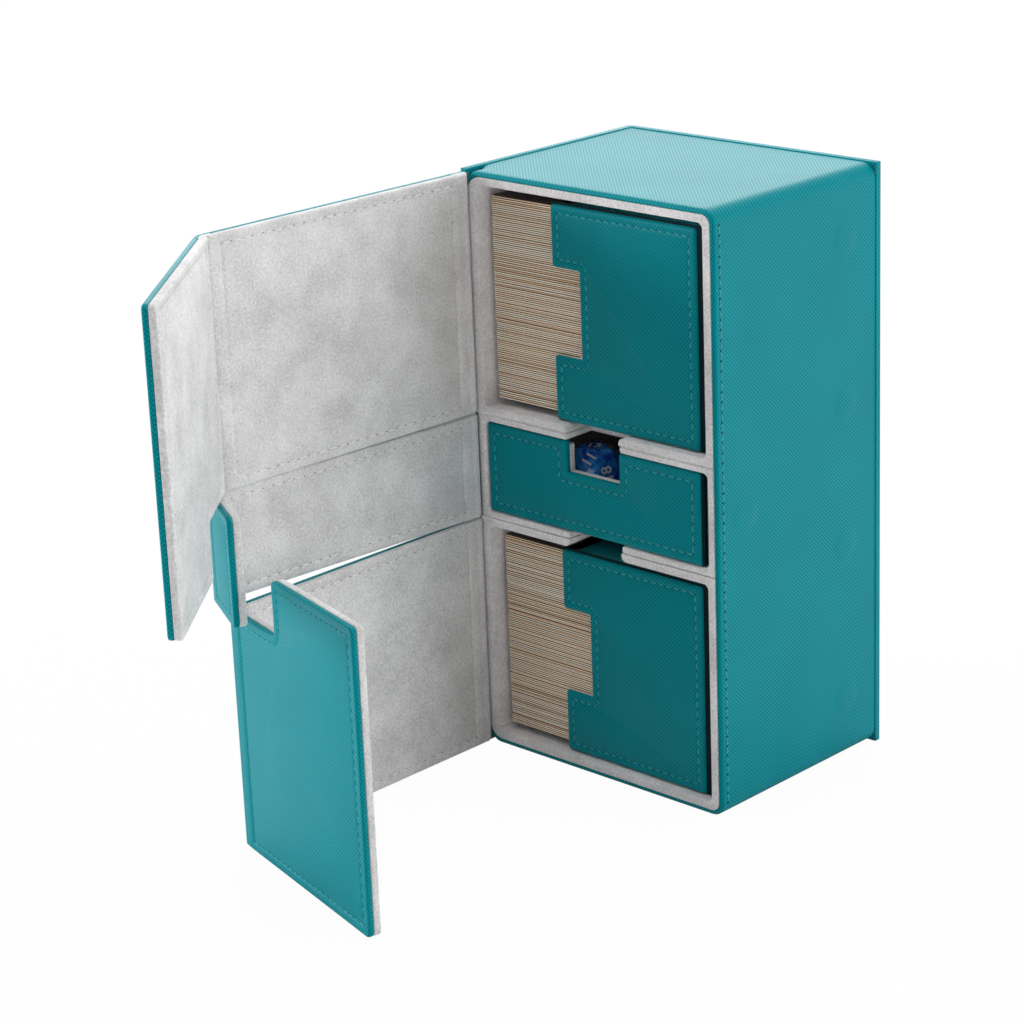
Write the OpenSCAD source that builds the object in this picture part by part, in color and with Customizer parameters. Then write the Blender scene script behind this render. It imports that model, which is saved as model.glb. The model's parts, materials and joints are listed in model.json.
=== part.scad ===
// Playing card box. Two open card cells with a drawer cell between them sit in a leatherette case.
// A book-like cover carries three doors that fold round the open front and hold to the right side
// by magnets. The box stands on one short end, with its doors open: X right, Y back, Z up.
// The origin is the centre of the case's foot. Sizes are in millimetres.

/* [Case] */
// Height of the case as it stands
case_height = 206; // [190:1:240]
// Outer radius of the two rounded case corners on the right
case_corner = 5; // [3.5:0.5:8]
// Thickness of the leatherette
skin = 0.7; // [0.5:0.1:1]
// Thickness of the board in the top, right and bottom case walls
case_board_t = 1.1; // [0.9:0.1:2]
// Thickness of the board behind the cells
back_wall = 1.2; // [0.8:0.1:2.5]

/* [Cells] */
// Right wall of the suede cell liners
liner_right = 2.9; // [2:0.1:4]
// Left wall of the suede cell liners, beside the spine
liner_left = 3.8; // [2:0.1:5]
// Floor and roof of each cell liner
liner_floor = 2.7; // [1.5:0.1:4]
// Back wall of each cell liner
liner_back = 1.8; // [1:0.1:3]
// Inner corner radius of the cells
cell_corner = 2; // [0.5:0.25:4]
// Outer height of the drawer cell
drawer_cell_h = 37.6; // [30:0.2:50]
// Width of the finger notch in each shelf
shelf_notch_w = 23.5; // [18:0.5:30]
// Depth of the finger notch in each shelf, from the front
shelf_notch_d = 13; // [8:0.5:20]
// Rounding of the shelf ends beside a finger notch, on the side of the cards
shelf_end_r = 2; // [0.5:0.1:2.4]

/* [Cover] */
// Thickness of the spine and of the back panel
cover_t = 2.8; // [2.4:0.1:4]
// How far the back panel stands out past the case at the right and at the top
cover_proud = 0.4; // [0:0.1:1]
// Outer radius of the edge between spine and back panel
cover_corner = 2.4; // [0.5:0.1:2.8]

/* [Doors] */
// Whole thickness of a door panel
door_t = 4.6; // [4:0.1:5.2]
// Thickness of the padded suede lining of a door panel
door_lining = 2.6; // [1.2:0.1:2.8]
// Gap between doors that lie side by side
door_gap = 0.8; // [0.5:0.1:2]
// How far the doors stay inside the top and the foot of the case
door_inset = 0.6; // [0.3:0.1:2]
// How far a closed end panel ends in front of the back panel
end_gap = 2; // [1:0.5:20]
// Depth of the corner cut out of each end panel, from its fold
end_notch = 31; // [24:0.5:34]
// Gap between the strap's tab and the end panels round it
tab_gap = 2.4; // [1:0.1:6]
// Corner radius at the free edges of the end panels and the tab
door_corner = 2.5; // [1:0.25:5]
// Corner radius of the panels next to a fold
fold_corner = 0.8; // [0.6:0.1:1.5]

/* [Magnets] */
// Diameter of a magnet
magnet_d = 10; // [6:0.5:12]
// Clearance round a magnet in its board
magnet_play = 0.05; // [0.02:0.01:0.2]
// Distance from the free edge of an end panel to its magnets
magnet_inset = 14.5; // [8:0.5:30]
// Distance from the top or the foot of the case to an end panel's outer magnet
magnet_head = 22.3; // [15:0.1:40]
// Height of an end panel's inner magnet above or below mid height
magnet_near = 24.8; // [15:0.1:35]
// Distance from the free edge of the tab to its magnet
tab_magnet_inset = 12.5; // [8:0.5:14]

/* [Trays] */
// Outer width of a card tray
tray_width = 65; // [50:1:80]
// Board and leatherette wall of a card tray
tray_wall = 1.2; // [0.8:0.1:2]
// Suede lining of a card tray
tray_lining = 0.6; // [0.4:0.1:1]
// Distance from the front of the case to a tray's front
tray_recess = 2.8; // [0.5:0.1:5]
// Gap between a tray and the right wall of its cell
tray_side_gap = 2.6; // [0.5:0.1:5]
// Gap between a tray and the back of its cell
tray_back_gap = 1.2; // [0.5:0.1:3]
// Gap between a tray and the roof of its cell
tray_head_gap = 2; // [1:0.1:6]
// Corner radius of a tray's two right edges
tray_corner = 2.5; // [2:0.25:4]
// Corner radius of a tray's two left edges
tray_left_corner = 0.9; // [0.3:0.1:1.1]
// Height of the thumb notch in a tray's front
thumb_h = 30; // [20:1:40]
// Depth of the thumb notch in a tray's front
thumb_d = 12; // [6:0.5:16]
// Corner radius of the thumb notch
thumb_r = 3; // [1:0.25:5]

/* [Cards] */
// Length of a sleeved card
card_length = 92; // [88:0.5:94]
// Width of a sleeved card
card_width = 66; // [63:0.5:69]
// Corner radius of a card's sleeve
card_corner = 0.8; // [0.6:0.1:4]
// Gap between a deck and the left wall of its cell
deck_left_gap = 1.8; // [1:0.1:8]
// Gap between a deck and the back of its tray
deck_back_gap = 6.1; // [1:0.1:10]
// Number of packets that show as steps in the side of a deck
packets = 12; // [4:1:20]
// How far every other packet stands back
packet_inset = 0.4; // [0.2:0.1:0.5]
// Gap between a deck and the tray round it
card_play = 0.3; // [0.2:0.1:0.8]

/* [Drawer] */
// Thickness of the drawer's front
drawer_front_t = 2.4; // [1.6:0.1:4]
// Wall of the drawer's box
drawer_wall = 1.6; // [1:0.1:2.5]
// Suede lining of the drawer
drawer_lining_t = 0.8; // [0.5:0.1:1.2]
// Gap at the left of the drawer's front
drawer_left_gap = 0.7; // [0.6:0.1:2]
// Gap at the right of the drawer's front
drawer_right_gap = 1.6; // [0.6:0.1:2]
// How far the drawer's box stands inside its front at each side
drawer_box_inset = 0.5; // [0.2:0.1:1.5]
// How far the drawer's box ends below the top of its front
drawer_box_drop = 1.6; // [0.5:0.1:4]
// Gap behind the drawer's box
drawer_back_gap = 2; // [0.5:0.1:5]
// Width of the finger notch in the drawer's front
drawer_notch_w = 23.5; // [16:0.5:28]
// Depth of the finger notch, from the top of the drawer's front
drawer_notch_d = 11; // [6:0.5:15]
// Corner radius of the finger notch
drawer_notch_r = 0.6; // [0.4:0.1:4]
// Distance between opposite faces of the twenty-sided die
die_across = 22; // [14:0.5:22.5]
// Distance from the middle of the drawer to the die, to the left
die_left = 16; // [-25:0.5:25]
// Gap between the die and the lining behind the drawer's front
die_gap = 0.3; // [0.2:0.1:20]

/* [Pose] */
// How far the upper flap stands open
upper_open = 92; // [0:1:170]
// How far the lower flap stands open
lower_open = 90; // [0:1:170]
// How far the strap stands open
strap_open = 94; // [0:1:178]
// How far the upper end panel is folded towards the case
upper_fold = 41; // [0:1:90]
// How far the lower end panel is folded towards the case
lower_fold = 75; // [0:1:90]
// How far the tab is folded towards the case
tab_fold = 66; // [0:1:90]

/* [Hidden] */

$fn = 32;
// Running gap between pieces that move past each other
run = 0.3;
// How far a cutting solid reaches past the face that it opens
cut = 1;
// Segments in each rounded corner of an outline
arc_steps = 5;

// The case is as wide and as deep as its sleeved cards, trays and walls need
wall = skin + case_board_t;
tray_stack = tray_wall + tray_lining;
case_width = liner_left + deck_left_gap + card_length + card_play + tray_stack + tray_side_gap
    + liner_right + wall;
case_depth = tray_recess + tray_stack + card_play + card_width + deck_back_gap + tray_stack
    + tray_back_gap + liner_back + back_wall;

// Planes of the case
left = -case_width / 2;
right = case_width / 2;
front = -case_depth / 2;
back = case_depth / 2;
mid = case_height / 2;

// Planes of the cells
cells_right = right - wall;
cells_back = back - back_wall;
seam_low = mid - drawer_cell_h / 2;
seam_high = mid + drawer_cell_h / 2;
cell_left = left + liner_left;
cell_right = cells_right - liner_right;
cell_back = cells_back - liner_back;
cell_middle = (cell_left + cell_right) / 2;
lower_floor = wall + liner_floor;
upper_floor = seam_high + liner_floor;
card_cell_h = seam_low - liner_floor - lower_floor;

// Doors: the hinge line lies in the middle of the door's thickness, and so does the fold line
spine_face = left - cover_t;
hinge_x = spine_face + door_t / 2;
hinge_y = front - run - door_t / 2;
fold_x = right + run + door_t / 2;
flap_len = fold_x - hinge_x;
fold_half = door_t / 2 + run;
end_len = back - end_gap - hinge_y;
tab_len = end_notch - tab_gap;
door_board = door_t - door_lining - skin;
door_top = case_height - door_inset;
flap_low = seam_high + door_gap / 2;
strap_low = seam_low + door_gap / 2;
strap_high = seam_high - door_gap / 2;
end_low = mid + door_gap / 2;

// Magnets: those of the case lie where the panels' magnets come when the doors close
magnet_along = end_len - magnet_inset;
tab_magnet_along = tab_len - tab_magnet_inset;
magnet_far = mid - magnet_head;

// Trays
tray_right = cell_right - tray_side_gap;
tray_left = tray_right - tray_width;
tray_front = front + tray_recess;
tray_back = cell_back - tray_back_gap;
tray_h = card_cell_h - run - tray_head_gap;

// Decks
deck_right = tray_right - tray_stack - card_play;
deck_front = tray_front + tray_stack + card_play;
deck_h = tray_h - 2 * tray_stack - 2 * card_play;
packet_h = deck_h / packets;

// Drawer
drawer_left = cell_left + drawer_left_gap;
drawer_right = cell_right - drawer_right_gap;
drawer_middle = (drawer_left + drawer_right) / 2;
drawer_low = seam_low + liner_floor + run;
drawer_high = seam_high - liner_floor - run;
drawer_box_front = front + drawer_front_t;
drawer_box_back = cell_back - drawer_back_gap;
drawer_box_left = drawer_left + drawer_box_inset;
drawer_box_right = drawer_right - drawer_box_inset;
drawer_box_high = drawer_high - drawer_box_drop;
drawer_notch_floor = drawer_high - drawer_notch_d;
drawer_floor = drawer_low + drawer_wall + drawer_lining_t;

// The golden ratio, which gives the corners of a twenty-sided die
golden_ratio = (1 + sqrt(5)) / 2;
// Distance from the centre of a twenty-sided die to its faces, for each half edge
face_ratio = golden_ratio * golden_ratio / sqrt(3);

// ---- Outlines ----

function unit(v) = v / norm(v);
function turned(v, a) = [v[0] * cos(a) - v[1] * sin(a), v[0] * sin(a) + v[1] * cos(a)];
function side(a, b) = a[0] * b[1] - a[1] * b[0] >= 0 ? 1 : -1;

// The arc that rounds corner p, between its neighbours a and b, with radius r
function corner_arc(a, p, b, r) =
    let (
        u = unit(a - p),
        w = unit(b - p),
        half = acos(u * w) / 2,
        centre = p + unit(u + w) * r / sin(half),
        first = p + u * r / tan(half) - centre,
        sweep = side(first, p - centre) * (180 - 2 * half)
    )
    [for (i = [0 : arc_steps]) centre + turned(first, sweep * i / arc_steps)];

// Points given as [x, y, radius], with every corner rounded by its radius
function rounded(points) =
    let (n = len(points), at = [for (p = points) [p[0], p[1]]])
    [for (i = [0 : n - 1])
        each points[i][2] > 0
            ? corner_arc(at[(i + n - 1) % n], at[i], at[(i + 1) % n], points[i][2])
            : [at[i]]];

// A rectangle with one radius for its left corners and one for its right corners
function box_outline(x0, y0, x1, y1, r_left, r_right) =
    [[x0, y0, r_left], [x1, y0, r_right], [x1, y1, r_right], [x0, y1, r_left]];

module outline(points) {
    polygon(rounded(points));
}

// An outline in X and Z, made solid from y0 back to y1
module along_y(y0, y1) {
    translate([0, y1, 0])
        rotate([90, 0, 0])
            linear_extrude(y1 - y0)
                children();
}

module mirrored() {
    translate([0, 0, case_height])
        mirror([0, 0, 1])
            children();
}

// ---- Cover: one sheet of leatherette over the spine and back boards ----

module cover_skin() {
    color("teal")
        difference() {
            linear_extrude(case_height + cover_proud)
                outline([
                    [spine_face, front, skin / 2],
                    [left, front, 0],
                    [left, back, 0],
                    [right + cover_proud, back, 0],
                    [right + cover_proud, back + cover_t, skin],
                    [spine_face, back + cover_t, cover_corner],
                ]);
            spine_pocket(cut);
            back_pocket(cut);
        }
}

// The room for the spine's board, opened towards the case by past
module spine_pocket(past) {
    translate([spine_face + skin, front + skin, skin])
        cube([cover_t - skin + past, case_depth - skin, case_height - 2 * skin]);
}

// The room for the back panel's board, opened towards the case by past
module back_pocket(past) {
    translate([left, back - past, skin])
        cube([case_width + cover_proud - skin, cover_t - skin + past, case_height - 2 * skin]);
}

module cover_spine_board() {
    color("tan") spine_pocket(0);
}

module cover_back_board() {
    color("tan") back_pocket(0);
}

// ---- Case: top, right side and bottom, open at the front and to the spine ----

function case_outline(inset) =
    box_outline(left, inset, right - inset, case_height - inset, 0, case_corner - inset);

module case_skin() {
    color("teal")
        difference() {
            along_y(front, back) outline(case_outline(0));
            along_y(front + skin, back + cut) open_left(case_outline(skin));
            along_y(front - cut, back) open_left(case_outline(wall));
        }
}

// A case outline that runs out past the left side
module open_left(points) {
    outline(points);
    translate([left - cut, points[0][1]])
        square([cut + case_corner, points[2][1] - points[0][1]]);
}

module case_board() {
    color("tan")
        difference() {
            along_y(front + skin, back) outline(case_outline(skin));
            along_y(front, cells_back) open_left(case_outline(wall));
            magnet_places()
                translate([0, 0, -cut])
                    magnet_disc(case_board_t + 2 * cut, magnet_play);
        }
}

// Puts its child at each magnet in the case's right wall, with +Z towards the doors
module magnet_places() {
    for (z = [mid - magnet_far, mid - magnet_near, mid + magnet_near, mid + magnet_far])
        translate([cells_right, hinge_y + magnet_along, z])
            rotate([0, 90, 0])
                children();
    translate([cells_right, hinge_y + tab_magnet_along, mid])
        rotate([0, 90, 0])
            children();
}

module magnet_disc(thick, play) {
    cylinder(h = thick, d = magnet_d + 2 * play);
}

module case_magnets() {
    color("silver")
        magnet_places() magnet_disc(case_board_t, 0);
}

// ---- Cell liners: three open-front suede boxes in a stack ----

// A liner between heights low and high, with its outer and inner radii at the case's right corners
module liner(low, high, r_low, r_high) {
    inner_low = max(cell_corner, r_low - liner_right);
    inner_high = max(cell_corner, r_high - liner_right);
    difference() {
        along_y(front, cells_back)
            outline([
                [left, low, 0], [cells_right, low, r_low],
                [cells_right, high, r_high], [left, high, 0],
            ]);
        along_y(front - cut, cell_back)
            outline([
                [cell_left, low + liner_floor, cell_corner], [cell_right, low + liner_floor, inner_low],
                [cell_right, high - liner_floor, inner_high], [cell_left, high - liner_floor, cell_corner],
            ]);
        children();
    }
}

// The finger notch through a shelf, whose card side lies at height card_side and whose other side
// lies at height seam. The shelf's ends beside the notch are rounded by r on the card side.
module shelf_notch(seam, card_side, r) {
    up = sign(card_side - seam);
    x0 = cell_middle - shelf_notch_w / 2;
    x1 = cell_middle + shelf_notch_w / 2;
    along_y(front - cut, front + shelf_notch_d)
        outline([
            [x0, seam - up * cut, 0],
            [x1, seam - up * cut, 0],
            [x1, card_side, r],
            [x1 + r + cut, card_side, 0],
            [x1 + r + cut, card_side + up * cut, 0],
            [x0 - r - cut, card_side + up * cut, 0],
            [x0 - r - cut, card_side, 0],
            [x0, card_side, r],
        ]);
}

module upper_cell_liner() {
    color("lightgray")
        liner(seam_high, case_height - wall, 0, case_corner - wall)
            shelf_notch(seam_high, upper_floor, shelf_end_r);
}

module drawer_cell_liner() {
    color("lightgray")
        liner(seam_low, seam_high, 0, 0) {
            shelf_notch(seam_low, seam_low + liner_floor, 0);
            shelf_notch(seam_high, seam_high - liner_floor, 0);
        }
}

module lower_cell_liner() {
    color("lightgray")
        liner(wall, seam_low, case_corner - wall, 0)
            shelf_notch(seam_low, seam_low - liner_floor, shelf_end_r);
}

// ---- Doors ----
// A panel lies in its own frame: its fold line on Z, its length along X, its suede side towards +Y.

module at_hinge(open) {
    translate([hinge_x, hinge_y, 0])
        rotate([0, 0, -open])
            children();
}

module at_fold(open, fold) {
    at_hinge(open)
        translate([flap_len, 0, 0])
            rotate([0, 0, fold])
                children();
}

// A panel between two folds, inset all round by m
function strip_outline(low, high, m) =
    box_outline(fold_half + m, low + m, flap_len - fold_half - m, high - m,
        fold_corner - m / 2, fold_corner - m / 2);

// The upper end panel, with a corner cut out of it for the tab, inset all round by m
function end_outline(m) = [
    [fold_half + m, flap_low + m, fold_corner - m / 2],
    [end_notch + m, flap_low + m, door_corner + m],
    [end_notch + m, end_low + m, door_corner - m],
    [end_len - m, end_low + m, door_corner - m],
    [end_len - m, door_top - m, door_corner - m],
    [fold_half + m, door_top - m, fold_corner - m / 2],
];

function tab_outline(m) =
    box_outline(fold_half + m, strap_low + m, tab_len - m, strap_high - m,
        fold_corner - m / 2, door_corner - m);

// The leatherette of a panel: its outer face, turned over its edges
module panel_skin(outer, inner) {
    color("teal")
        difference() {
            along_y(-door_t / 2, door_t / 2 - door_lining) outline(outer);
            along_y(-door_t / 2 + skin, door_t / 2) outline(inner);
        }
}

// The board inside a panel, with its child cut out of it
module panel_board(inner) {
    color("tan")
        difference() {
            along_y(-door_t / 2 + skin, door_t / 2 - door_lining) outline(inner);
            children();
        }
}

module panel_lining(outer) {
    color("lightgray")
        along_y(door_t / 2 - door_lining, door_t / 2) outline(outer);
}

// The rolled fold of leatherette and suede that fills a fold line
module fold_roll(low, high) {
    color("darkcyan")
        translate([0, 0, low])
            cylinder(h = high - low, d = door_t);
}

// Puts its child at a magnet of a panel, at height z and at distance along from the fold line
module panel_magnet_place(along, z) {
    translate([along, door_t / 2 - door_lining, z])
        rotate([90, 0, 0])
            children();
}

module end_magnet_places() {
    for (z = [mid + magnet_near, mid + magnet_far])
        panel_magnet_place(magnet_along, z) children();
}

module flap_skin() { panel_skin(strip_outline(flap_low, door_top, 0), strip_outline(flap_low, door_top, skin)); }
module flap_board() { panel_board(strip_outline(flap_low, door_top, skin)); }
module flap_lining() { panel_lining(strip_outline(flap_low, door_top, 0)); }
module flap_roll() { fold_roll(flap_low, door_top); }

module end_skin() { panel_skin(end_outline(0), end_outline(skin)); }
module end_lining() { panel_lining(end_outline(0)); }

module end_board() {
    panel_board(end_outline(skin))
        translate([0, cut, 0])
            end_magnet_places() magnet_disc(door_board + 2 * cut, magnet_play);
}

module end_magnets() {
    color("silver")
        end_magnet_places() magnet_disc(door_board, 0);
}

module upper_hinge_roll() { at_hinge(upper_open) flap_roll(); }
module upper_flap_skin() { at_hinge(upper_open) flap_skin(); }
module upper_flap_board() { at_hinge(upper_open) flap_board(); }
module upper_flap_lining() { at_hinge(upper_open) flap_lining(); }
module upper_end_roll() { at_fold(upper_open, upper_fold) flap_roll(); }
module upper_end_skin() { at_fold(upper_open, upper_fold) end_skin(); }
module upper_end_board() { at_fold(upper_open, upper_fold) end_board(); }
module upper_end_lining() { at_fold(upper_open, upper_fold) end_lining(); }
module upper_end_magnets() { at_fold(upper_open, upper_fold) end_magnets(); }

module lower_hinge_roll() { mirrored() at_hinge(lower_open) flap_roll(); }
module lower_flap_skin() { mirrored() at_hinge(lower_open) flap_skin(); }
module lower_flap_board() { mirrored() at_hinge(lower_open) flap_board(); }
module lower_flap_lining() { mirrored() at_hinge(lower_open) flap_lining(); }
module lower_end_roll() { mirrored() at_fold(lower_open, lower_fold) flap_roll(); }
module lower_end_skin() { mirrored() at_fold(lower_open, lower_fold) end_skin(); }
module lower_end_board() { mirrored() at_fold(lower_open, lower_fold) end_board(); }
module lower_end_lining() { mirrored() at_fold(lower_open, lower_fold) end_lining(); }
module lower_end_magnets() { mirrored() at_fold(lower_open, lower_fold) end_magnets(); }

// The strap closes the front of the drawer, and its tab holds between the two end panels

module strap_hinge_roll() { at_hinge(strap_open) fold_roll(strap_low, strap_high); }

module strap_skin() {
    at_hinge(strap_open)
        panel_skin(strip_outline(strap_low, strap_high, 0), strip_outline(strap_low, strap_high, skin));
}

module strap_board() { at_hinge(strap_open) panel_board(strip_outline(strap_low, strap_high, skin)); }
module strap_lining() { at_hinge(strap_open) panel_lining(strip_outline(strap_low, strap_high, 0)); }
module tab_roll() { at_fold(strap_open, tab_fold) fold_roll(strap_low, strap_high); }
module tab_skin() { at_fold(strap_open, tab_fold) panel_skin(tab_outline(0), tab_outline(skin)); }
module tab_lining() { at_fold(strap_open, tab_fold) panel_lining(tab_outline(0)); }

module tab_board() {
    at_fold(strap_open, tab_fold)
        panel_board(tab_outline(skin))
            translate([0, cut, 0])
                panel_magnet_place(tab_magnet_along, mid) magnet_disc(door_board + 2 * cut, magnet_play);
}

module tab_magnet() {
    color("silver")
        at_fold(strap_open, tab_fold)
            panel_magnet_place(tab_magnet_along, mid) magnet_disc(door_board, 0);
}

// ---- Drawer ----

// The finger notch through the drawer's front wall
module drawer_notch(y0, y1) {
    along_y(y0, y1)
        outline([
            [drawer_middle - drawer_notch_w / 2, drawer_notch_floor, drawer_notch_r],
            [drawer_middle + drawer_notch_w / 2, drawer_notch_floor, drawer_notch_r],
            [drawer_middle + drawer_notch_w / 2, drawer_high + cut, 0],
            [drawer_middle - drawer_notch_w / 2, drawer_high + cut, 0],
        ]);
}

module drawer_front() {
    color("teal")
        difference() {
            along_y(front, drawer_box_front)
                outline(box_outline(drawer_left, drawer_low, drawer_right, drawer_high, skin, skin));
            drawer_notch(front - cut, drawer_box_front + cut);
        }
}

// A block inside the drawer's box, inset from its sides and floor by m, up to height high
module drawer_block(m, high) {
    translate([drawer_box_left + m, drawer_box_front + m, drawer_low + m])
        cube([
            drawer_box_right - drawer_box_left - 2 * m,
            drawer_box_back - drawer_box_front - 2 * m,
            high - drawer_low - m,
        ]);
}

module drawer_box() {
    color("gray")
        difference() {
            drawer_block(0, drawer_box_high);
            drawer_block(drawer_wall, drawer_high + cut);
            drawer_notch(front, drawer_box_front + drawer_wall + cut);
        }
}

module drawer_lining() {
    color("lightgray")
        difference() {
            drawer_block(drawer_wall, drawer_box_high);
            drawer_block(drawer_wall + drawer_lining_t, drawer_high + cut);
            drawer_notch(front, drawer_box_front + drawer_wall + drawer_lining_t + cut);
        }
}

half_edge = die_across / 2 / face_ratio;
// Distance from the centre of the die to its corners
die_reach = half_edge * norm([1, golden_ratio]);

// The twelve corners of the die
die_corners = [
    for (a = [-half_edge, half_edge], b = [-golden_ratio, golden_ratio] * half_edge)
        each [[0, a, b], [a, b, 0], [b, 0, a]]
];

// Whether two corners share an edge: other pairs lie at least golden_ratio times as far apart
function joined(i, j) = norm(die_corners[i] - die_corners[j]) < (1 + golden_ratio) * half_edge;

// Three corners in the order that turns their face outwards
function outward(i, j, k) =
    cross(die_corners[j] - die_corners[i], die_corners[k] - die_corners[i]) * die_corners[i] < 0
        ? [i, j, k]
        : [i, k, j];

die_faces = [
    for (i = [0 : 9], j = [i + 1 : 10], k = [j + 1 : 11])
        if (joined(i, j) && joined(j, k) && joined(i, k))
            outward(i, j, k)
];

// It lies on one of its faces on the drawer's lining
module die() {
    color("royalblue")
        translate([
            drawer_middle - die_left,
            drawer_box_front + drawer_wall + drawer_lining_t + die_gap + die_reach,
            drawer_floor + run + die_across / 2,
        ])
            rotate([0, -atan(golden_ratio / (2 * golden_ratio + 1)), 0])
                polyhedron(points = die_corners, faces = die_faces);
}

// ---- Card trays: boxes that are open to the left, where the cards stick out ----

module tray_shell(floor) {
    color("teal")
        difference() {
            along_y(tray_front, tray_back) outline(tray_outline(floor, 0));
            along_y(tray_front + tray_wall, tray_back - tray_wall) tray_hollow(floor, tray_wall);
            thumb_notch(floor);
        }
}

module tray_inside(floor) {
    color("lightgray")
        difference() {
            along_y(tray_front + tray_wall, tray_back - tray_wall)
                outline(tray_outline(floor, tray_wall));
            along_y(tray_front + tray_stack, tray_back - tray_stack) tray_hollow(floor, tray_stack);
            thumb_notch(floor);
        }
}

// A tray's outline, inset by m at the top, the right and the floor
function tray_outline(floor, m) =
    box_outline(tray_left, floor + m, tray_right - m, floor + tray_h - m,
        m > 0 ? 0 : tray_left_corner, tray_corner - m);

module tray_hollow(floor, m) {
    outline(tray_outline(floor, m));
    translate([tray_left - cut, floor + m])
        square([cut + tray_corner, tray_h - 2 * m]);
}

module thumb_notch(floor) {
    centre = floor + tray_h / 2;
    along_y(tray_front - cut, tray_front + tray_stack + cut)
        outline([
            [tray_left - cut, centre - thumb_h / 2, 0],
            [tray_left + thumb_d, centre - thumb_h / 2, thumb_r],
            [tray_left + thumb_d, centre + thumb_h / 2, thumb_r],
            [tray_left - cut, centre + thumb_h / 2, 0],
        ]);
}

// A deck of sleeved cards that lie flat, as packets of which every other one stands back
module deck(floor) {
    color("tan")
        translate([0, 0, floor + tray_stack + card_play]) {
            cards(deck_h, packet_inset);
            for (i = [0 : 2 : packets - 1])
                translate([0, 0, i * packet_h])
                    cards(packet_h, 0);
        }
}

// Cards up to height thick, whose edges stand back by inset
module cards(thick, inset) {
    linear_extrude(thick)
        outline(box_outline(
            deck_right - card_length + inset, deck_front + inset,
            deck_right - inset, deck_front + card_width - inset,
            card_corner - inset, card_corner - inset
        ));
}

module upper_tray_shell() { tray_shell(upper_floor + run); }
module upper_tray_lining() { tray_inside(upper_floor + run); }
module upper_deck() { deck(upper_floor + run); }
module lower_tray_shell() { tray_shell(lower_floor + run); }
module lower_tray_lining() { tray_inside(lower_floor + run); }
module lower_deck() { deck(lower_floor + run); }

cover_skin();
cover_spine_board();
cover_back_board();
case_skin();
case_board();
case_magnets();
upper_cell_liner();
drawer_cell_liner();
lower_cell_liner();
upper_hinge_roll();
strap_hinge_roll();
lower_hinge_roll();
upper_flap_skin();
upper_flap_board();
upper_flap_lining();
upper_end_roll();
upper_end_skin();
upper_end_board();
upper_end_lining();
upper_end_magnets();
strap_skin();
strap_board();
strap_lining();
tab_roll();
tab_skin();
tab_board();
tab_lining();
tab_magnet();
lower_flap_skin();
lower_flap_board();
lower_flap_lining();
lower_end_roll();
lower_end_skin();
lower_end_board();
lower_end_lining();
lower_end_magnets();
drawer_front();
drawer_box();
drawer_lining();
die();
upper_tray_shell();
upper_tray_lining();
upper_deck();
lower_tray_shell();
lower_tray_lining();
lower_deck();
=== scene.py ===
"""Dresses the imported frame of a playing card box: leatherette, suede, stitching, cards and a die.

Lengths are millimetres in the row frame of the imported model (X right, Y back, Z up), and become
metres where a mesh is made.
"""

from __future__ import annotations

import json
import logging
import math
import random
from collections.abc import Callable, Iterable, Sequence
from dataclasses import dataclass, field
from enum import Enum

import bmesh
import bpy
from mathutils import Matrix, Vector

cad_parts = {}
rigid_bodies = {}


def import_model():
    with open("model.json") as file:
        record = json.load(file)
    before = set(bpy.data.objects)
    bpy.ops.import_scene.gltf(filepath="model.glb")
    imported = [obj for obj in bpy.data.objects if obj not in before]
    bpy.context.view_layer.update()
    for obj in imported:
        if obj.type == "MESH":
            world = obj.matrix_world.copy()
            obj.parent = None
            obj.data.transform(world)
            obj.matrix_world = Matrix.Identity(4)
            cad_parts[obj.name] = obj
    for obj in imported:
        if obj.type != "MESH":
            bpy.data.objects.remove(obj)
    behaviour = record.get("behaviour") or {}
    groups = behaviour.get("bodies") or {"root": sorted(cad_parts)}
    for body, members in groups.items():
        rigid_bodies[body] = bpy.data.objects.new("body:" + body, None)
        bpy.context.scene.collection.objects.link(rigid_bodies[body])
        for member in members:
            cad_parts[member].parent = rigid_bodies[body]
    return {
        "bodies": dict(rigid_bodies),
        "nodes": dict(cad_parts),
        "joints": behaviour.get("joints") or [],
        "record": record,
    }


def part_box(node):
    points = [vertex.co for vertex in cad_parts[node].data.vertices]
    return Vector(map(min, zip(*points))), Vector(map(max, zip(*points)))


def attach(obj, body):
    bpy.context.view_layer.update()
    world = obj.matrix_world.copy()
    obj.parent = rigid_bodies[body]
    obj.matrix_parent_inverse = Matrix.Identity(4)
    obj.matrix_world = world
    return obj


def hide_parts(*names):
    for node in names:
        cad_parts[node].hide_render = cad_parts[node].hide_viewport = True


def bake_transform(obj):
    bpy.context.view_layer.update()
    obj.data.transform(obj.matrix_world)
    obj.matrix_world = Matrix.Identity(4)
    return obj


MM = 0.001
TOUCHING = 1e-6  # metres within which two points are one
SHARP = math.radians(32)  # angle from which an edge is sharp
WAVE = math.tau / 20  # distance between the bands of a wave texture at a scale of 1
DIAGONAL_WAVE = math.tau / 10 / math.sqrt(3)  # the same for its diagonal bands

# A seam's dip from its inner to its outer side, in shares of half its width and of its depth.
SEAM_SHAPE = ((1.0, 0.0), (0.5, 0.55), (0.0, 1.0), (-0.5, 0.55), (-1.0, 0.0))
# A padded front from its face round to its side: inset and distance behind the face, in mm.
PADDED_EDGE = ((1.5, 0.0), (1.0, 0.06), (0.55, 0.24), (0.2, 0.55), (0.0, 0.95))

LOG = logging.getLogger("card_box")

Place = Callable[[float, float, float], Vector]
Profile = list[tuple[float, float]]
Rings = list[list[Vector]]


# ---- Colour and nodes ----


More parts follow.
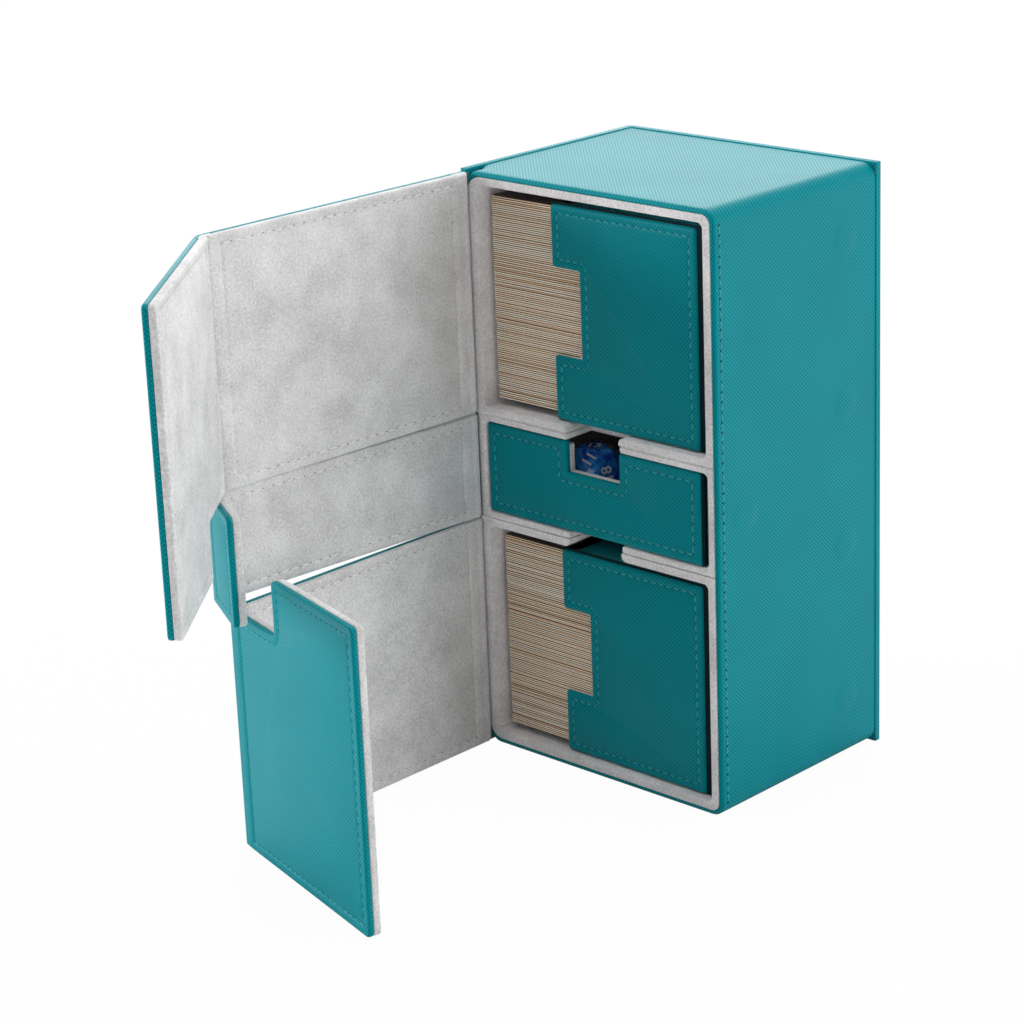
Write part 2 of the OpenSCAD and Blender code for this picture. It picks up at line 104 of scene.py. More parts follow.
def linear(code: str) -> tuple[float, float, float, float]:
    """Turns an sRGB hex colour into linear red, green, blue and alpha.

    Args:
        code: Six hex digits, with or without a leading "#".

    Returns:
        The linear colour with an alpha of 1.
    """
    digits = code.lstrip("#")
    parts = [int(digits[i : i + 2], 16) / 255 for i in (0, 2, 4)]
    red, green, blue = (p / 12.92 if p <= 0.04045 else ((p + 0.055) / 1.055) ** 2.4 for p in parts)
    return red, green, blue, 1.0


def add(
    tree: bpy.types.NodeTree,
    kind: str,
    settings: dict[str, object] | None = None,
    links: dict[str | int, object] | None = None,
) -> bpy.types.Node:
    """Adds a node with its settings, and fills its inputs.

    Args:
        tree: The node tree that gets the node.
        kind: The node's type, such as ShaderNodeTexNoise.
        settings: Attributes of the node and their values.
        links: Inputs by name or number, each with an output socket to link or a plain value.

    Returns:
        The new node.
    """
    node = tree.nodes.new(kind)
    for key, value in (settings or {}).items():
        setattr(node, key, value)
    for key, value in (links or {}).items():
        if isinstance(value, bpy.types.NodeSocket):
            tree.links.new(value, node.inputs[key])
        else:
            node.inputs[key].default_value = value
    return node


class Finish:
    """A material that is built once for each angle that its pieces are turned by."""

    name = "finish"

    def __init__(self) -> None:
        """Starts with no material built."""
        self._built: dict[float, bpy.types.Material] = {}

    def material(self, turn: float = 0.0) -> bpy.types.Material:
        """Returns the material whose pattern lies along pieces that are turned about Z.

        Args:
            turn: Angle of the piece about Z, in radians.

        Returns:
            The material.
        """
        key = round(turn, 4)
        if key not in self._built:
            label = self.name if not key else f"{self.name}_{round(math.degrees(key))}"
            made = bpy.data.materials.new(label)
            made.use_nodes = True
            made.node_tree.nodes.clear()
            shader = self.shade(made.node_tree, self.coordinates(made.node_tree, key))
            add(made.node_tree, "ShaderNodeOutputMaterial", links={"Surface": shader})
            self._built[key] = made
        return self._built[key]

    @staticmethod
    def coordinates(tree: bpy.types.NodeTree, turn: float) -> bpy.types.NodeSocket:
        """Gives the place on the piece in millimetres, in the piece's own frame.

        Args:
            tree: The material's node tree.
            turn: Angle of the piece about Z, in radians.

        Returns:
            The socket that carries the place.
        """
        where = add(tree, "ShaderNodeTexCoord").outputs["Object"]
        turned = add(
            tree,
            "ShaderNodeVectorRotate",
            {"rotation_type": "Z_AXIS"},
            {"Vector": where, "Angle": -turn},
        )
        scaled = add(
            tree,
            "ShaderNodeVectorMath",
            {"operation": "SCALE"},
            {0: turned.outputs["Vector"], "Scale": 1 / MM},
        )
        return scaled.outputs["Vector"]

    def shade(self, tree: bpy.types.NodeTree, where: bpy.types.NodeSocket) -> bpy.types.NodeSocket:
        """Builds the shader at a place given in millimetres, and returns its output."""
        raise NotImplementedError


class Leatherette(Finish):
    """Polyurethane leatherette, pressed with a fine cross-hatch and calendered to a satin.

    The hatching gives the eye two sets of close slanting lines that cross at a right angle, over a
    deep even colour. It is drawn 1.04 mm from line to line, as the photograph shows it.
    """

    cloud = 28.0  # mm between lighter and darker clouds
    lying = 0.72  # upward share of the normal above which a face counts as lying

    def __init__(self, name: str, colour: str, ridge: str, sheen: str, cell: float = 1.46) -> None:
        """Names the leatherette and its colours.

        Args:
            name: The material's name.
            colour: sRGB hex of the hatching's hollows, darker as painted shade.
            ridge: sRGB hex of its ridges, lighter as painted light.
            sheen: sRGB hex that its satin gives to what it mirrors.
            cell: Width and height of one diamond of the hatching, in mm.
        """
        super().__init__()
        self.name, self.colour, self.ridge, self.sheen, self.cell = name, colour, ridge, sheen, cell

    def shade(self, tree: bpy.types.NodeTree, where: bpy.types.NodeSocket) -> bpy.types.NodeSocket:
        """Paints the ridges of the hatching lighter and the sharper edges a little pale, as painted
        light.

        Args:
            tree: The material's node tree.
            where: The place on the piece, in mm.

        Returns:
            The shader's output.
        """
        ridges = self._ridges(tree, where)
        cloud = add(
            tree,
            "ShaderNodeTexNoise",
            links={"Vector": where, "Scale": 1 / self.cloud, "Detail": 3.0},
        ).outputs["Fac"]
        # Painted highlight: the sharper edges are paled towards the ridge colour.
        highlight_pointiness = add(tree, "ShaderNodeNewGeometry").outputs["Pointiness"]
        edge = add(
            tree,
            "ShaderNodeMapRange",
            links={"Value": highlight_pointiness, "From Min": 0.52, "From Max": 0.6, "To Min": 0.0, "To Max": 0.35},
        ).outputs["Result"]
        # Painted light and shade: ridges and sharp edges get the lighter colour, hollows the
        # darker.
        lit = add(tree, "ShaderNodeMath", {"operation": "MAXIMUM"}, {0: ridges, 1: edge})
        tint = add(
            tree,
            "ShaderNodeMix",
            {"data_type": "RGBA"},
            {0: lit.outputs["Value"], 6: linear(self.colour), 7: linear(self.ridge)},
        ).outputs[2]
        shade = add(
            tree,
            "ShaderNodeMapRange",
            links={
                "Value": cloud,
                "From Min": 0.3,
                "From Max": 0.7,
                "To Min": 0.95,
                "To Max": 1.05,
            },
        ).outputs["Result"]
        colour = add(
            tree, "ShaderNodeVectorMath", {"operation": "SCALE"}, {0: tint, "Scale": shade}
        ).outputs["Vector"]
        rough = add(
            tree,
            "ShaderNodeMapRange",
            links={"Value": ridges, "To Min": 0.58, "To Max": 0.44},
        ).outputs["Result"]
        height = add(
            tree,
            "ShaderNodeBump",
            links={"Strength": 0.4, "Distance": 0.05 * MM, "Height": ridges},
        ).outputs["Normal"]
        return add(
            tree,
            "ShaderNodeBsdfPrincipled",
            links={
                "Base Color": colour,
                "Roughness": rough,
                "Specular IOR Level": 0.38,
                "Specular Tint": linear(self.sheen),
                "Normal": height,
            },
        ).outputs["BSDF"]

    def _ridges(
        self, tree: bpy.types.NodeTree, where: bpy.types.NodeSocket
    ) -> bpy.types.NodeSocket:
        """Gives how high the hatching stands, from 0 to 1, on flat and on standing faces.

        Args:
            tree: The material's node tree.
            where: The place on the piece, in mm.

        Returns:
            The socket that carries the height.
        """
        facing = add(tree, "ShaderNodeTexCoord").outputs["Normal"]
        upward = add(tree, "ShaderNodeSeparateXYZ", links={0: facing}).outputs["Z"]
        steep = add(tree, "ShaderNodeMath", {"operation": "ABSOLUTE"}, {0: upward}).outputs[0]
        level = add(
            tree, "ShaderNodeMath", {"operation": "GREATER_THAN"}, {0: steep, 1: self.lying}
        ).outputs[0]
        dot = {"operation": "DOT_PRODUCT"}
        first, standing, lying = (
            add(tree, "ShaderNodeVectorMath", dot, {0: where, 1: axis}).outputs["Value"]
            for axis in ((1, 1, 1), (1, 1, -1), (1, -1, 1))
        )
        second = add(
            tree, "ShaderNodeMix", {"data_type": "FLOAT"}, {0: level, 2: standing, 3: lying}
        ).outputs[0]
        sets = []
        for along in (first, second):
            line = add(tree, "ShaderNodeCombineXYZ", links={0: along}).outputs["Vector"]
            sets.append(
                add(
                    tree,
                    "ShaderNodeTexWave",
                    {"bands_direction": "X"},
                    {"Vector": line, "Scale": WAVE / self.cell},
                ).outputs["Fac"]
            )
        return add(
            tree, "ShaderNodeMix", {"data_type": "FLOAT"}, {0: 0.5, 2: sets[0], 3: sets[1]}
        ).outputs[0]


class Suede(Finish):
    """Microfibre suede, brushed to a short nap.

    The nap lies in soft patches a few millimetres wide, lighter or darker by the way it was
    stroked, over a speckle of fibre ends. Real fibre ends are too fine to show, so they are drawn
    about 0.85 mm apart.
    """

    patch = 15.0  # mm across a patch of nap
    fibre = 0.85  # mm between fibre ends

    def __init__(self, name: str, colour: str, shadow: str) -> None:
        """Names the suede and gives the sRGB hex of its lit and of its stroked-back nap."""
        super().__init__()
        self.name, self.colour, self.shadow = name, colour, shadow

    def shade(self, tree: bpy.types.NodeTree, where: bpy.types.NodeSocket) -> bpy.types.NodeSocket:
        """Mixes broad patches of nap with a speckle of fibres.

        Args:
            tree: The material's node tree.
            where: The place on the piece, in mm.

        Returns:
            The shader's output.
        """
        patches = add(
            tree,
            "ShaderNodeTexNoise",
            links={"Vector": where, "Scale": 1 / self.patch, "Detail": 5.0, "Roughness": 0.62},
        ).outputs["Fac"]
        fibres = add(
            tree,
            "ShaderNodeTexNoise",
            links={"Vector": where, "Scale": 1 / self.fibre, "Detail": 3.0, "Roughness": 0.8},
        ).outputs["Fac"]
        mixed = add(
            tree,
            "ShaderNodeMix",
            {"data_type": "FLOAT"},
            {0: 0.62, 2: patches, 3: fibres},
        ).outputs[0]
        spread = add(
            tree,
            "ShaderNodeMapRange",
            links={"Value": mixed, "From Min": 0.36, "From Max": 0.62},
        ).outputs["Result"]
        colour = add(
            tree,
            "ShaderNodeMix",
            {"data_type": "RGBA"},
            {0: spread, 6: linear(self.shadow), 7: linear(self.colour)},
        ).outputs[2]
        height = add(
            tree,
            "ShaderNodeBump",
            links={"Strength": 0.5, "Distance": 0.2 * MM, "Height": fibres},
        ).outputs["Normal"]
        return add(
            tree,
            "ShaderNodeBsdfPrincipled",
            links={
                "Base Color": colour,
                "Roughness": 0.95,
                "Specular IOR Level": 0.25,
                "Normal": height,
                "Sheen Weight": 0.25,
                "Sheen Roughness": 0.5,
            },
        ).outputs["BSDF"]


class Thread(Finish):
    """Spun polyester sewing thread, two plies twisted together, which shows as slanting bands."""

    ply = 0.45  # mm between two turns of a ply

    def __init__(self, name: str, colour: str, groove: str) -> None:
        """Names the thread and gives the sRGB hex of its plies and of the groove between them,
        painted darker as shade.
        """
        super().__init__()
        self.name, self.colour, self.groove = name, colour, groove

    def shade(self, tree: bpy.types.NodeTree, where: bpy.types.NodeSocket) -> bpy.types.NodeSocket:
        """Bands the thread once for each turn of its plies, 0.45 mm apart, with painted shade in
        the groove between them.

        Args:
            tree: The material's node tree.
            where: The place on the piece, in mm.

        Returns:
            The shader's output.
        """
        twist = add(
            tree,
            "ShaderNodeTexWave",
            {"bands_direction": "DIAGONAL"},
            {"Vector": where, "Scale": DIAGONAL_WAVE / self.ply, "Distortion": 0.4},
        ).outputs["Fac"]
        # Painted shade: the groove between the plies gets the darker colour.
        colour = add(
            tree,
            "ShaderNodeMix",
            {"data_type": "RGBA"},
            {0: twist, 6: linear(self.groove), 7: linear(self.colour)},
        ).outputs[2]
        height = add(
            tree, "ShaderNodeBump", links={"Strength": 0.4, "Distance": 0.08 * MM, "Height": twist}
        ).outputs["Normal"]
        return add(
            tree,
            "ShaderNodeBsdfPrincipled",
            links={
                "Base Color": colour,
                "Roughness": 0.7,
                "Specular IOR Level": 0.3,
                "Normal": height,
            },
        ).outputs["BSDF"]


class CardStock(Finish):
    """Plastic-coated card, cut in a press. Cut edges are cream, each in its own shade.

    The faces that lie flat are painted dark brown, as painted shadow under the cell's roof, and
    only show on the card that lies on top.
    """

    name = "card_stock"
    lying = 0.9  # upward share of the normal above which a face lies flat and is painted dark as shadow, not an edge

    def __init__(self, pitch: float, floor: float) -> None:
        """Sets the height of one card and the height where the lowest card lies, in mm."""
        super().__init__()
        self.pitch, self.floor = pitch, floor

    def shade(self, tree: bpy.types.NodeTree, where: bpy.types.NodeSocket) -> bpy.types.NodeSocket:
        """Gives each card in the stack its own tint by its height, and paints the flat faces dark
        as painted shadow.

        Args:
            tree: The material's node tree.
            where: The place on the piece, in mm.

        Returns:
            The shader's output.
        """
        height = add(tree, "ShaderNodeSeparateXYZ", links={0: where}).outputs["Z"]
        above = add(tree, "ShaderNodeMath", {"operation": "SUBTRACT"}, {0: height, 1: self.floor})
        count = add(
            tree, "ShaderNodeMath", {"operation": "DIVIDE"}, {0: above.outputs[0], 1: self.pitch}
        )
        card = add(tree, "ShaderNodeMath", {"operation": "FLOOR"}, {0: count.outputs[0]}).outputs[0]
        chance = add(
            tree, "ShaderNodeTexWhiteNoise", {"noise_dimensions": "1D"}, {"W": card}
        ).outputs["Value"]
        ramp = add(tree, "ShaderNodeValToRGB", links={"Fac": chance})
        stops = ramp.color_ramp.elements
        stops[0].color, stops[1].color = linear("#DDB78E"), linear("#FFF6E6")
        middle = stops.new(0.25)
        middle.color = linear("#FFE6C9")
        facing = add(tree, "ShaderNodeTexCoord").outputs["Normal"]
        upward = add(tree, "ShaderNodeSeparateXYZ", links={0: facing}).outputs["Z"]
        steep = add(tree, "ShaderNodeMath", {"operation": "ABSOLUTE"}, {0: upward}).outputs[0]
        flat = add(
            tree, "ShaderNodeMath", {"operation": "GREATER_THAN"}, {0: steep, 1: self.lying}
        ).outputs[0]
        # Painted shadow: the flat faces get a dark brown.
        colour = add(
            tree,
            "ShaderNodeMix",
            {"data_type": "RGBA"},
            {0: flat, 6: ramp.outputs["Color"], 7: linear("#2E231C")},
        ).outputs[2]
        return add(
            tree,
            "ShaderNodeBsdfPrincipled",
            links={"Base Color": colour, "Roughness": 0.5},
        ).outputs["BSDF"]


class CastResin(Finish):
    """Cast polyester resin with a swirl of deep blue dye, polished to a wet gloss."""

    name = "cast_resin"
    swirl = 5.5  # mm across a swirl of dye

    def shade(self, tree: bpy.types.NodeTree, where: bpy.types.NodeSocket) -> bpy.types.NodeSocket:
        """Swirls two blues a few millimetres wide under a clear polish.

        Args:
            tree: The material's node tree.
            where: The place on the piece, in mm.

        Returns:
            The shader's output.
        """
        swirl = add(
            tree,
            "ShaderNodeTexNoise",
            links={"Vector": where, "Scale": 1 / self.swirl, "Detail": 4.0, "Distortion": 1.8},
        ).outputs["Fac"]
        ramp = add(tree, "ShaderNodeValToRGB", links={"Fac": swirl})
        stops = ramp.color_ramp.elements
        stops[0].position, stops[1].position = 0.38, 0.66
        stops[0].color, stops[1].color = linear("#0C46C4"), linear("#3AA8FF")
        return add(
            tree,
            "ShaderNodeBsdfPrincipled",
            links={
                "Base Color": ramp.outputs["Color"],
                "Roughness": 0.09,
                "IOR": 1.55,
                "Coat Weight": 0.6,
                "Coat Roughness": 0.04,
            },
        ).outputs["BSDF"]


class Greyboard(Finish):
    """Grey bookbinder's board of recycled pulp, with dark and pale fibres pressed in it."""

    name = "greyboard"
    fibre = 0.9  # mm between fibres

    def shade(self, tree: bpy.types.NodeTree, where: bpy.types.NodeSocket) -> bpy.types.NodeSocket:
        """Scatters fibres about a millimetre long over a dull grey brown.

        Args:
            tree: The material's node tree.
            where: The place on the piece, in mm.

        Returns:
            The shader's output.
        """
        fibres = add(
            tree,
            "ShaderNodeTexNoise",
            links={"Vector": where, "Scale": 1 / self.fibre, "Detail": 4.0, "Roughness": 0.75},
        ).outputs["Fac"]
        ramp = add(tree, "ShaderNodeValToRGB", links={"Fac": fibres})
        stops = ramp.color_ramp.elements
        stops[0].position, stops[1].position = 0.32, 0.7
        stops[0].color, stops[1].color = linear("#6F675B"), linear("#B3A996")
        height = add(
            tree, "ShaderNodeBump", links={"Strength": 0.3, "Distance": 0.1 * MM, "Height": fibres}
        ).outputs["Normal"]
        return add(
            tree,
            "ShaderNodeBsdfPrincipled",
            links={"Base Color": ramp.outputs["Color"], "Roughness": 0.9, "Normal": height},
        ).outputs["BSDF"]


class NickelPlate(Finish):
    """Bright nickel plate on a sintered magnet, tumbled to scratches that blur what it mirrors.

    Real scratches are too fine to show, so they are drawn 0.3 mm apart.
    """

    name = "nickel_plate"
    scratch = 0.3  # mm between scratches

    def shade(self, tree: bpy.types.NodeTree, where: bpy.types.NodeSocket) -> bpy.types.NodeSocket:
        """Varies the roughness of a plain metal by scratches 0.3 mm apart.

        Args:
            tree: The material's node tree.
            where: The place on the piece, in mm.

        Returns:
            The shader's output.
        """
        scratches = add(
            tree,
            "ShaderNodeTexNoise",
            links={"Vector": where, "Scale": 1 / self.scratch, "Detail": 3.0},
        ).outputs["Fac"]
        rough = add(
            tree,
            "ShaderNodeMapRange",
            links={"Value": scratches, "To Min": 0.16, "To Max": 0.34},
        ).outputs["Result"]
        return add(
            tree,
            "ShaderNodeBsdfPrincipled",
            links={"Base Color": linear("#CFCBC4"), "Metallic": 1.0, "Roughness": rough},
        ).outputs["BSDF"]


class Enamel(Finish):
    """Enamel, brushed on slightly uneven, which dulls what it mirrors; dark copies are painted
    shadow.

    Real brush marks are too fine to show, so they are drawn 0.7 mm apart.
    """

    mark = 0.7  # mm between brush marks

    def __init__(self, name: str, colour: str) -> None:
        """Names the enamel and gives its sRGB hex."""
        super().__init__()
        self.name, self.colour = name, colour

    def shade(self, tree: bpy.types.NodeTree, where: bpy.types.NodeSocket) -> bpy.types.NodeSocket:
        """Ripples a plain colour by brush marks 0.7 mm apart.

        Args:
            tree: The material's node tree.
            where: The place on the piece, in mm.

        Returns:
            The shader's output.
        """
        marks = add(
            tree,
            "ShaderNodeTexNoise",
            links={"Vector": where, "Scale": 1 / self.mark, "Detail": 2.0},
        ).outputs["Fac"]
        height = add(
            tree, "ShaderNodeBump", links={"Strength": 0.2, "Distance": 0.05 * MM, "Height": marks}
        ).outputs["Normal"]
        return add(
            tree,
            "ShaderNodeBsdfPrincipled",
            links={
                "Base Color": linear(self.colour),
                "Roughness": 0.6,
                "Specular IOR Level": 0.08,
                "Normal": height,
            },
        ).outputs["BSDF"]


@dataclass(frozen=True)
class Palette:
    """Every finish on the box, with painted light and shade among them."""

    # The ridge colour is lighter than the hollow colour, as painted light and shade.
    leather: Leatherette = field(
        default_factory=lambda: Leatherette("pu_leatherette", "#005C65", "#02919B", "#3FC4CC")
    )
    suede: Suede = field(default_factory=lambda: Suede("microfibre_suede", "#E3E2E2", "#B1B0B0"))
    # The cells' suede is the door suede painted lighter, as painted light where the cells face the
    # front.
    liner: Suede = field(default_factory=lambda: Suede("liner_suede_painted_lighter", "#ECE9EA", "#BEBCBC"))
    # Each thread's second colour is painted shade between its plies.
    leather_thread: Thread = field(
        default_factory=lambda: Thread("teal_thread", "#4CB4BA", "#14757C")
    )
    suede_thread: Thread = field(
        default_factory=lambda: Thread("white_thread", "#FBFAF8", "#CFCDCB")
    )
    # Dark studs in the needle holes, as painted shadow.
    needle_hole: Enamel = field(default_factory=lambda: Enamel("needle_hole_shadow", "#01333A"))
    suede_hole: Enamel = field(default_factory=lambda: Enamel("suede_hole_shadow", "#2A2929"))
    # Near-black board edges beside the fronts, as painted shadow in the gaps.
    edge_paint: Enamel = field(default_factory=lambda: Enamel("edge_paint", "#011A20"))
    board: Greyboard = field(default_factory=Greyboard)
    magnet: NickelPlate = field(default_factory=NickelPlate)
    resin: CastResin = field(default_factory=CastResin)
    numeral: Enamel = field(default_factory=lambda: Enamel("white_enamel", "#F1F4F6"))


# ---- Meshes ----


@dataclass(frozen=True)
class Corner:
    """A corner of an outline: its place and the radius that rounds it, in mm."""

    x: float
    z: float
    r: float = 0.0


@dataclass(frozen=True)
class Outline:
    """A flat outline of rounded corners, anticlockwise as X runs right and Z runs up."""

    corners: tuple[Corner, ...]
    steps: int = 6
    least: float = 0.05

    @classmethod
    def box(cls, x0: float, z0: float, x1: float, z1: float, left: float, right: float) -> Outline:
        """Makes a rectangle with one radius for its left and one for its right corners."""
        lower = (Corner(x0, z0, left), Corner(x1, z0, right))
        return cls((*lower, Corner(x1, z1, right), Corner(x0, z1, left)))

    def mirrored(self, height: float) -> Outline:
        """Turns the outline upside down within a height."""
        turned = tuple(Corner(c.x, height - c.z, c.r) for c in reversed(self.corners))
        return Outline(turned, self.steps)

    def _sides(self, i: int) -> tuple[Vector, Vector, Vector]:
        """Gives corner i and the inward normals of the sides before and after it.

        Args:
            i: The corner's number.

        Returns:
            The corner and both normals.
        """
        near = (self.corners[k % len(self.corners)] for k in (i, i - 1, i + 1))
        here, before, after = (Vector((corner.x, corner.z)) for corner in near)
        ahead, behind = (after - here).normalized(), (here - before).normalized()
        return here, Vector((-behind.y, behind.x)), Vector((-ahead.y, ahead.x))

    def ring(self, inset: float) -> list[tuple[float, float]]:
        """Walks round the outline drawn in by an inset, with the same count of points each time.

        Args:
            inset: How far the outline is drawn in, in mm.

        Returns:
            Pairs of X and Z.
        """
        made = []
        for i, corner in enumerate(self.corners):
            here, first, second = self._sides(i)
            turn = math.atan2(first.x * second.y - first.y * second.x, first.dot(second))
            bend = 1 if turn > 0 else -1
            radius = max(corner.r - bend * inset, self.least)
            centre = here + (first + second) * (inset + bend * radius) / (1 + first.dot(second))
            for k in range(self.steps + 1):
                angle = turn * k / self.steps
                spoke = Vector(
                    (
                        first.x * math.cos(angle) - first.y * math.sin(angle),
                        first.x * math.sin(angle) + first.y * math.cos(angle),
                    )
                )
                point = centre - spoke * bend * radius
                made.append((point.x, point.y))
        return made

    def side(self, i: int, inset: float) -> tuple[Vector, Vector]:
        """Gives both ends of side i, from corner i to the next, drawn in by an inset.

        Args:
            i: The side's number.
            inset: How far the side is drawn in, in mm.

        Returns:
            Its first and its last end.
        """
        ends = []
        for k in (i, (i + 1) % len(self.corners)):
            here, first, second = self._sides(k)
            ends.append(here + (first + second) * inset / (1 + first.dot(second)))
        return ends[0], ends[1]


def arc(
    inset: float, level: float, radius: float, start: float, end: float, steps: int = 4
) -> Profile:
    """Gives points of a profile along an arc.

    Args:
        inset: Inset of the arc's centre from the outline.
        level: Level of the arc's centre.
        radius: Radius of the arc.
        start: First angle in degrees, from the inset axis towards the level axis.
        end: Last angle in degrees.
        steps: Spans in the arc.

    Returns:
        Pairs of inset and level.
    """
    angles = (math.radians(start + (end - start) * k / steps) for k in range(steps + 1))
    return [(inset + radius * math.cos(a), level + radius * math.sin(a)) for a in angles]


def lofted(rings: Rings) -> bmesh.types.BMesh:
    """Joins closed rings of equal count into one closed solid, capped at both ends.

    Args:
        rings: The rings in order, in metres.

    Returns:
        The solid.
    """
    mesh = bmesh.new()
    made = [[mesh.verts.new(p) for p in ring] for ring in rings]
    for low, high in zip(made, made[1:]):
        for i in range(len(low)):
            k = (i + 1) % len(low)
            mesh.faces.new((low[i], low[k], high[k], high[i]))
    mesh.faces.new(list(reversed(made[0])))
    mesh.faces.new(made[-1])
    return mesh


def slab(outline: Outline, profile: Profile, place: Place) -> bmesh.types.BMesh:
    """Lofts an outline through a profile of insets and levels."""
    return lofted([[place(x, y, z) for x, z in outline.ring(inset)] for inset, y in profile])


def stud(
    place: Place, x: float, z: float, level: float, sides: int, radius: float, rise: float
) -> Rings:
    """Gives the rings of a low round stud, for a needle hole's shadow.

    Args:
        place: Turns X, level and Z into the row frame.
        x: X of the stud's middle.
        z: Z of its middle.
        level: Level of the surface.
        sides: Points in a ring.
        radius: Radius of the stud.
        rise: How far it stands out of and into the surface.

    Returns:
        The rings, from the inside out.
    """
    tip = 0.3
    turns = [math.tau * k / sides for k in range(sides)]
    return [
        [
            place(x + radius * share * math.cos(a), level + lift, z + radius * share * math.sin(a))
            for a in turns
        ]
        for share, lift in ((tip, -rise), (1.0, 0.0), (tip, rise))
    ]


def merged(parts: Iterable[bmesh.types.BMesh]) -> bmesh.types.BMesh:
    """Joins several meshes into one, and frees them.

    Args:
        parts: The meshes.

    Returns:
        The joined mesh.
    """
    whole = bmesh.new()
    for part in parts:
        bmesh.ops.recalc_face_normals(part, faces=part.faces)
        data = bpy.data.meshes.new("part")
        part.to_mesh(data)
        part.free()
        whole.from_mesh(data)
        bpy.data.meshes.remove(data)
    return whole


def piece(
    name: str, mesh: bmesh.types.BMesh, finish: bpy.types.Material, slot: str
) -> bpy.types.Object:
    """Makes an object from a mesh whose points are in metres.

    Args:
        name: The piece's name.
        mesh: Its mesh, which is freed.
        finish: Its material.
        slot: The record's material slot; not used.

    Returns:
        The object, smooth but for its sharp edges.
    """
    bmesh.ops.recalc_face_normals(mesh, faces=mesh.faces)
    data = bpy.data.meshes.new(name)
    mesh.to_mesh(data)
    mesh.free()
    data.shade_smooth()
    data.set_sharp_from_angle(angle=SHARP)
    data.materials.append(finish)
    made = bpy.data.objects.new(name, data)
    bpy.context.scene.collection.objects.link(made)
    return made


def in_row(x: float, y: float, z: float) -> Vector:
    """Gives a place of the row frame in metres."""
    return Vector((x, y, z)) * MM


@dataclass(frozen=True)
class Hinged:
    """The frame of a panel: its fold line, and the angle that its length runs at.

    A panel runs away from its fold along its own X, with its suede side towards its own +Y.
    """

    x: float
    y: float
    turn: float

    def place(self, along: float, out: float, up: float) -> Vector:
        """Gives a place of the panel in the row frame, in metres."""
        c, s = math.cos(self.turn), math.sin(self.turn)
        return in_row(self.x + c * along - s * out, self.y + s * along + c * out, up)

    def normal(self) -> Vector:
        """Gives the direction of the panel's suede side."""
        return Vector((-math.sin(self.turn), math.cos(self.turn), 0))


class Frame:
    """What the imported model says, in millimetres."""

    def __init__(self, loaded: dict[str, object]) -> None:
        """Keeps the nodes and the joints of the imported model."""
        self.nodes: dict[str, bpy.types.Object] = loaded["nodes"]
        self.joints = {joint["name"]: joint for joint in loaded["joints"]}

    @staticmethod
    def box(node: str) -> tuple[Vector, Vector]:
        """Gives the lowest and the highest corner of a node."""
        low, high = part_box(node)
        return low / MM, high / MM

    def fold(self, joint: str) -> Vector:
        """Gives the line of a hinge, in plan."""
        return Vector(self.joints[joint]["pos_m"][:2]) / MM

    def fold_angle(self, joint: str) -> float:
        """Gives how far an end is folded at rest, which is how far it can open, in radians."""
        return math.radians(self.joints[joint]["range_deg"][1])

    def islands(self, node: str) -> list[Vector]:
        """Gives the middle of each separate solid of a node.

        Args:
            node: The node's name.

        Returns:
            Their middles in mm.
        """
        mesh = bmesh.new()
        mesh.from_mesh(self.nodes[node].data)
        bmesh.ops.remove_doubles(mesh, verts=mesh.verts, dist=TOUCHING)
        left, middles = set(mesh.verts), []
        while left:
            found, front = set(), [left.pop()]
            while front:
                vert = front.pop()
                found.add(vert)
                fresh = {e.other_vert(vert) for e in vert.link_edges} & left
                left -= fresh
                front.extend(fresh)
            middles.append(sum((v.co for v in found), Vector()) / len(found) / MM)
        mesh.free()
        return middles

    def softened(self, node: str, width: float, segments: int = 3) -> bmesh.types.BMesh:
        """Copies a node's mesh and rounds its edges by a width in mm.

        Args:
            node: The node's name.
            width: Width of the rounding.
            segments: Spans in the rounding.

        Returns:
            The copy.
        """
        mesh = bmesh.new()
        mesh.from_mesh(self.nodes[node].data)
        bmesh.ops.remove_doubles(mesh, verts=mesh.verts, dist=TOUCHING)
        flat = math.radians(0.5)
        bmesh.ops.dissolve_limit(mesh, angle_limit=flat, verts=mesh.verts, edges=mesh.edges)
        bmesh.ops.bevel(
            mesh,
            geom=[e for e in mesh.edges if e.calc_face_angle(0.0) > SHARP],
            offset=width * MM,
            offset_type="OFFSET",
            segments=segments,
            profile=0.5,
            affect="EDGES",
            clamp_overlap=True,
        )
        return mesh


# ---- Stitching ----


class Seam(Enum):
    """How a row of lock stitches looks: pitch, width and rise of a stitch, all in mm."""

    ON_LEATHER = (3.4, 0.62, 0.32)
    ON_SUEDE = (4.2, 0.62, 0.34)


